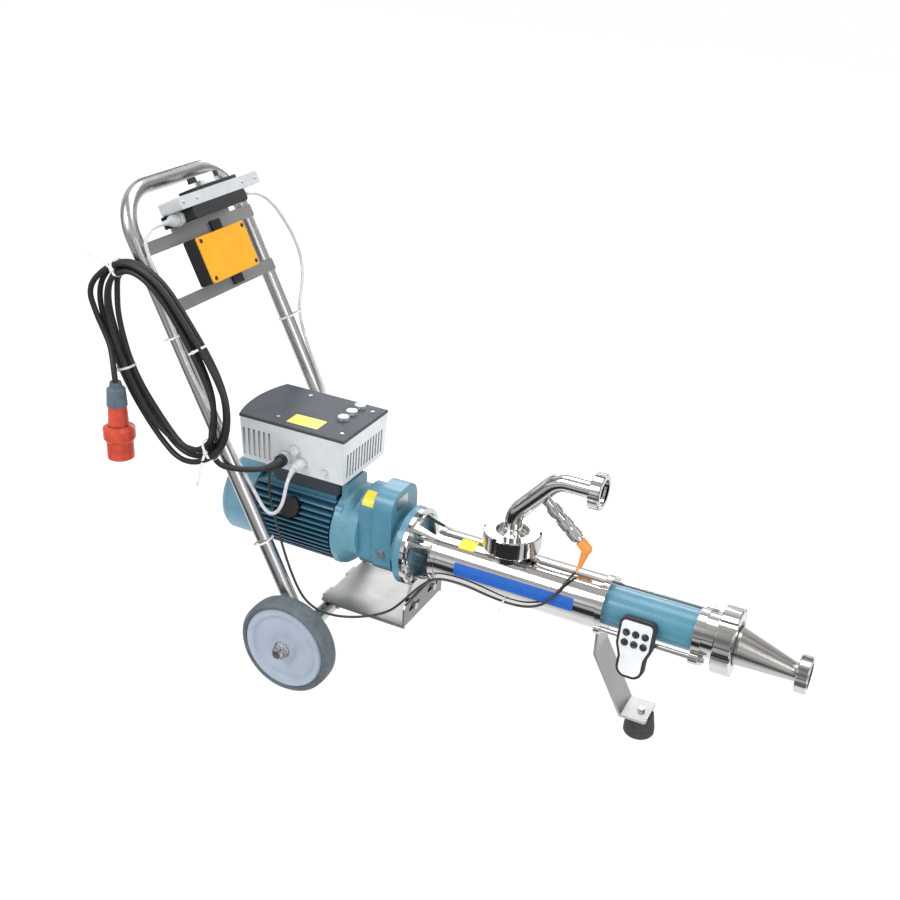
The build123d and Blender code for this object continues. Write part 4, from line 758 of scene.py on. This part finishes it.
# The coil hangs on the handle's near leg. Each station gives the bundle's outer and inner
# edge there, and how far its turns have fanned out, from 0 where a tie holds them to 1.
STATIONS = [  # outer x, z; inner x, z; fan
    ((-1068, 798), (-1044, 778), 0.0), ((-1013, 820), (-1004, 794), 0.0), ((-941, 794), (-957, 768), 0.1),
    ((-884, 724), (-911, 710), 0.1), ((-820, 639), (-862, 622), 0.5), ((-786, 557), (-844, 560), 1.0),
    ((-812, 465), (-844, 495), 0.6), ((-907, 416), (-890, 466), 1.0), ((-990, 453), (-962, 506), 1.0),
    ((-1057, 563), (-1024, 592), 0.25), ((-1108, 672), (-1050, 690), 1.0), ((-1118, 745), (-1048, 745), 1.0),
]
TIED_PLACE = (1.0, 1.0, 0.5, 0.0, 0.0)      # across the bundle where it is tied, 0 outside to 1 inside
LOOSE_PLACE = (1.0, 0.75, 0.5, 0.25, 0.0)
LAYER_Y = (-192, -206, -185.5, -194, -207)  # how far in front each turn lies
MAINS = 11.0


def coil_point(station, turn):
    """Where one turn of the coil passes a station, in millimetres."""
    outer, inner, fan = STATIONS[station]
    outer, inner = Vector((outer[0], 0, outer[1])), Vector((inner[0], 0, inner[1]))
    inset = (inner - outer).normalized() * (MAINS / 2 + 0.5)
    share = TIED_PLACE[turn] + (LOOSE_PLACE[turn] - TIED_PLACE[turn]) * fan
    point = (outer + inset).lerp(inner - inset, share)
    return (point.x, LAYER_Y[turn], point.z)


def coil_points():
    """Up the right side, over the top, down the left and back along the bottom, turn by turn."""
    points = []
    for turn in range(5):
        for station in (6, 5, 4, 3, 2, 1, 0, 11, 10, 9, 8, 7):
            if turn == 0 and station == 6:
                continue
            if turn == 4 and station == 10:
                return points
            slot = min(turn + 1, 4) if station == 7 else turn
            points.append(coil_point(station, slot))


power_route = mm([(-754, -114, 428), (-755, -135, 428), (-775, -162, 429), (-806, -182, 432),
                  (-833, -192, 436), (-850, -194, 460), (-850, -193, 498)]
                 + coil_points()
                 + [(-1096, -206, 694), (-1082, -206, 666), (-1064, -211, 640), (-1050, -223, 615), (-1040, -233, 597),
                    (-1036, -236, 579)])
power_cord = cord_curve("mains_cord", power_route, 0.011, MAINS_JACKET,
                        ["power_cable", "cable_coil", "power_tail"])

sensor_route = mm([(-153, -8, 330), (-158, -20, 320), (-166, -38, 308), (-180, -56, 284), (-196, -60, 262),
                   (-220, -57, 245), (-247, -49, 232), (-281, -46, 228), (-318, -53, 236), (-353, -57, 245),
                   (-390, -58, 247), (-420, -57, 242), (-442, -54, 228), (-464, -56, 206), (-484, -65, 180),
                   (-503, -66, 156), (-520, -68, 138), (-543, -84, 129), (-572, -108, 128), (-604, -130, 132),
                   (-640, -141, 138), (-672, -143, 154), (-694, -142, 184), (-714, -140, 226), (-732, -138, 275),
                   (-750, -130, 314), (-772, -112, 340), (-792, -88, 356), (-800, -74, 372), (-800, -72, 386)])
sensor_cord = cord_curve("sensor_cord", sensor_route, 0.005, SENSOR_JACKET, ["sensor_lead"])

NEAR_ROUTE = [(-96, 834, 34), (-124, 835, 33), (-152, 832, 30), (-172, 816, 27), (-175, 784, 25), (-177, 742, 24),
              (-183, 690, 20), (-185, 620, 17), (-185, 550, 17), (-180, 486, 20), (-174, 434, 22), (-170, 384, 22),
              (-165, 338, 22), (-161, 298, 23)]
near_route = [on_handle(*p) for p in NEAR_ROUTE] + mm([
    (-756, -158, 346), (-740, -156, 338), (-725, -152, 350), (-718, -147, 372), (-717, -142, 392), (-717, -132, 412),
    (-717, -114, 425)])
near_cord = cord_curve("near_switch_cord", near_route, 0.007, GREY_JACKET, ["near_lead"])

FAR_ROUTE = [(136, 834, 34), (162, 835, 32), (200, 827, 28), (236, 800, 24), (258, 752, 22), (268, 700, 21),
             (256, 652, 21), (228, 616, 21), (196, 588, 22), (176, 550, 22), (168, 490, 21), (165, 430, 21),
             (160, 394, 23)]
far_route = [on_handle(*p) for p in FAR_ROUTE] + mm([(-803, 140, 436), (-800, 114, 428)])
far_cord = cord_curve("far_switch_cord", far_route, 0.007, GREY_JACKET, ["far_lead"])

power_line, sensor_line, near_line, far_line = (line_of(c) for c in (power_cord, sensor_cord, near_cord, far_cord))
print("cord lengths", [round(length_of(line), 4) for line in (power_line, sensor_line, near_line, far_line)])

power_boot = boot("mains_strain_relief", power_line, 0.0, 0.030, 0.0092, 0.0062, 5, MAINS_JACKET)
near_boots = [boot("near_switch_boot", near_line, 0.0, 0.020, 0.0068, 0.0040, 4, GREY),
              boot("near_inverter_boot", near_line[::-1], 0.0, 0.020, 0.0068, 0.0040, 4, GREY)]
far_boots = [boot("far_switch_boot", far_line, 0.0, 0.020, 0.0068, 0.0040, 4, GREY),
             boot("far_inverter_boot", far_line[::-1], 0.0, 0.020, 0.0068, 0.0040, 4, GREY)]
sensor_boot = boot("sensor_strain_relief", sensor_line, 0.0, 0.014, 0.0040, 0.0028, 3, ORANGE)

# ---- Cable ties ---------------------------------------------------------------


def v(*p):
    return Vector(p) / 1000


def bundle_tie(name, station_a, station_b, share, tail=None, width=0.0045, grow=1.0):
    """A tie round the whole coil, between two of its stations."""
    sides = []
    for pick in (0, 1):
        a, b = STATIONS[station_a][pick], STATIONS[station_b][pick]
        sides.append(Vector((a[0] + (b[0] - a[0]) * share, -196.2, a[1] + (b[1] - a[1]) * share)) / 1000)
    outer, inner = sides
    a, b = coil_point(station_a, 2), coil_point(station_b, 2)
    along = Vector((b[0] - a[0], 0, b[2] - a[2]))
    half = (outer - inner).length / 2
    return cable_tie(name, (outer + inner) / 2, along, outer - inner, half * grow + 0.001, 0.0172, width=width, tail=tail)


bundle_tie("coil_strap_top", 0, 1, 0.25, tail=v(-1098, -214, 815), width=0.006)
bundle_tie("coil_strap_bottom", 6, 7, 0.3, tail=v(-876, -208, 388), width=0.006)
bundle_tie("coil_tie_right", 3, 4, 0.55)
bundle_tie("coil_tie_left", 9, 10, 0.15)


# ---- Ties along the frame -----------------------------------------------------

HANDLE_UP = Vector((-math.sin(LEAN), 0, math.cos(LEAN)))
HANDLE_OUT = Vector((math.cos(LEAN), 0, math.sin(LEAN)))
near_ties = [
    cable_tie("near_leg_tie_low", on_handle(-170, 203, 1), HANDLE_UP, HANDLE_OUT, 0.0162, 0.0212, width=0.004),
    cable_tie("near_leg_tie_high", on_handle(-170, 634, 3), HANDLE_UP, HANDLE_OUT, 0.0205, 0.0222, width=0.004),
]
far_ties = [cable_tie("far_leg_tie", on_handle(171, 570, 5), HANDLE_UP, HANDLE_OUT, 0.0215, 0.0222, width=0.004)]
lead_at_housing = min(sensor_line, key=lambda p: (p - v(-281, -46, 228)).length)
sensor_ties = [cable_tie("housing_lead_tie", lead_at_housing, Vector((1, 0, 0.1)), Vector((0, 1, 0)), 0.0036, 0.0036,
                         width=0.003, tail=v(-287, -62, 214), thick=0.001)]

# ---- Labels and plates -------------------------------------------------------------

label("lid_label", v(-727, -49, 499), (0, 0, 1), (1, 0.02, 0), (0.070, 0.040), "inverter_lid", YELLOW_FILM)
label("gearbox_label", v(-587, -36, 362), (0, -0.70, 0.71), (1, 0, 0), (0.028, 0.034), "gearbox", YELLOW_FILM)
label("housing_label", v(-378, -18, 312), (0, -0.33, 0.94), (1, 0, 0), (0.034, 0.026), "suction_housing", YELLOW_FILM)
label("housing_band", v(-268, -51, 271), (0, -0.985, 0.17), (1, 0, 0), (0.248, 0.027), "suction_housing", BLUE_FILM,
      corner=0.004)
label("gearbox_plate", v(-530, -10, 358), (1, 0, 0), (0, 1, 0), (0.044, 0.026), "gearbox", ZINC, corner=0.003,
      lift=0.0006)

# ---- Small turned parts ---------------------------------------------------------------


def turned(bm, centre, axis, profile, segments=36, ripple=0.0, ripples=6):
    """Skin of revolution from (distance along the axis, radius) pairs, with optional ripples round it."""
    axis = axis.normalized()
    side = axis.orthogonal().normalized()
    other = axis.cross(side)
    rings = []
    for along, radius in profile:
        ring = []
        for k in range(segments):
            a = 2 * math.pi * k / segments
            r = radius * (1 - ripple * (0.5 - 0.5 * math.cos(ripples * a)))
            ring.append(bm.verts.new(centre + axis * along + (side * math.cos(a) + other * math.sin(a)) * r))
        rings.append(ring)
    for low, high in zip(rings, rings[1:]):
        for k in range(segments):
            j = (k + 1) % segments
            bm.faces.new((low[k], low[j], high[j], high[k]))
    bm.faces.new(rings[0][::-1])
    bm.faces.new(rings[-1])


def cross_screw(bm, centre, axis, radius, height):
    """A domed screw head with a cross recess."""
    axis = axis.normalized()
    side = Vector((0, 1, 0))
    other = axis.cross(side)
    rings = []
    for i in range(9):
        r = radius * (1 - i / 8)
        ring = []
        for k in range(48):
            a = 2 * math.pi * k / 48
            x, y = r * math.cos(a), r * math.sin(a)
            dome = height * (1 - (r / radius) ** 2 * 0.6) if i else 0.0
            in_cross = min(abs(x), abs(y)) < radius * 0.14 and max(abs(x), abs(y)) < radius * 0.62
            lift = dome - (height * 0.75 if in_cross else 0)
            ring.append(bm.verts.new(centre + side * x + other * y + axis * lift))
        rings.append(ring)
    for low, high in zip(rings[:-1], rings[1:-1]):
        for k in range(48):
            j = (k + 1) % 48
            bm.faces.new((low[k], low[j], high[j], high[k]))
    bm.faces.new(rings[-2])


def along_y(bm, y, side, profile, **how):
    turned(bm, on_handle(y, 834, 34), Vector((0, side, 0)), profile, **how)


for name, y, side in (("near_gland", -64.3, -1), ("far_gland", 104.3, 1)):
    bm = bmesh.new()
    along_y(bm, y, side, [(0, 0.0142), (0.0015, 0.0150), (0.009, 0.0150), (0.0105, 0.0142)], ripple=0.10)
    along_y(bm, y, side, [(0.0105, 0.0118), (0.014, 0.0128), (0.021, 0.0124), (0.026, 0.0106), (0.030, 0.0088),
                          (0.0312, 0.0072)], ripple=0.05, ripples=12, segments=96)
    add_piece(name, finished_mesh(name, bm), GREY)

bm = bmesh.new()
for y in (-59, 73):
    for along in (706, 780):
        cross_screw(bm, on_handle(y, along, 56.2), HANDLE_OUT, 0.0042, 0.0016)
add_piece("receiver_screws", finished_mesh("receiver_screws", bm), BLACK)

bm = bmesh.new()
for y in (-80, -40, 105, 149):
    cross_screw(bm, on_handle(y, 858, 72.1), HANDLE_OUT, 0.0040, 0.0014)
add_piece("switch_cover_screws", finished_mesh("switch_cover_screws", bm), ZINC)

SENSOR_AXIS = Vector((0.750, 0, -0.6614))
SENSOR_START = v(-223.7, 0, 435.1)
bm = bmesh.new()
for start, length in ((0.003, 0.016), (0.034, 0.018), (0.058, 0.018)):
    turned(bm, SENSOR_START + SENSOR_AXIS * start, SENSOR_AXIS,
           [(0, 0.0121), (0.0008, 0.0129), (length - 0.0008, 0.0129), (length, 0.0121)], segments=180, ripple=0.035,
           ripples=45)
add_piece("sensor_knurls", finished_mesh("sensor_knurls", bm), CONE, smooth=False)

# ---- Final scene update --------------------------------------------------------


bpy.context.view_layer.update()
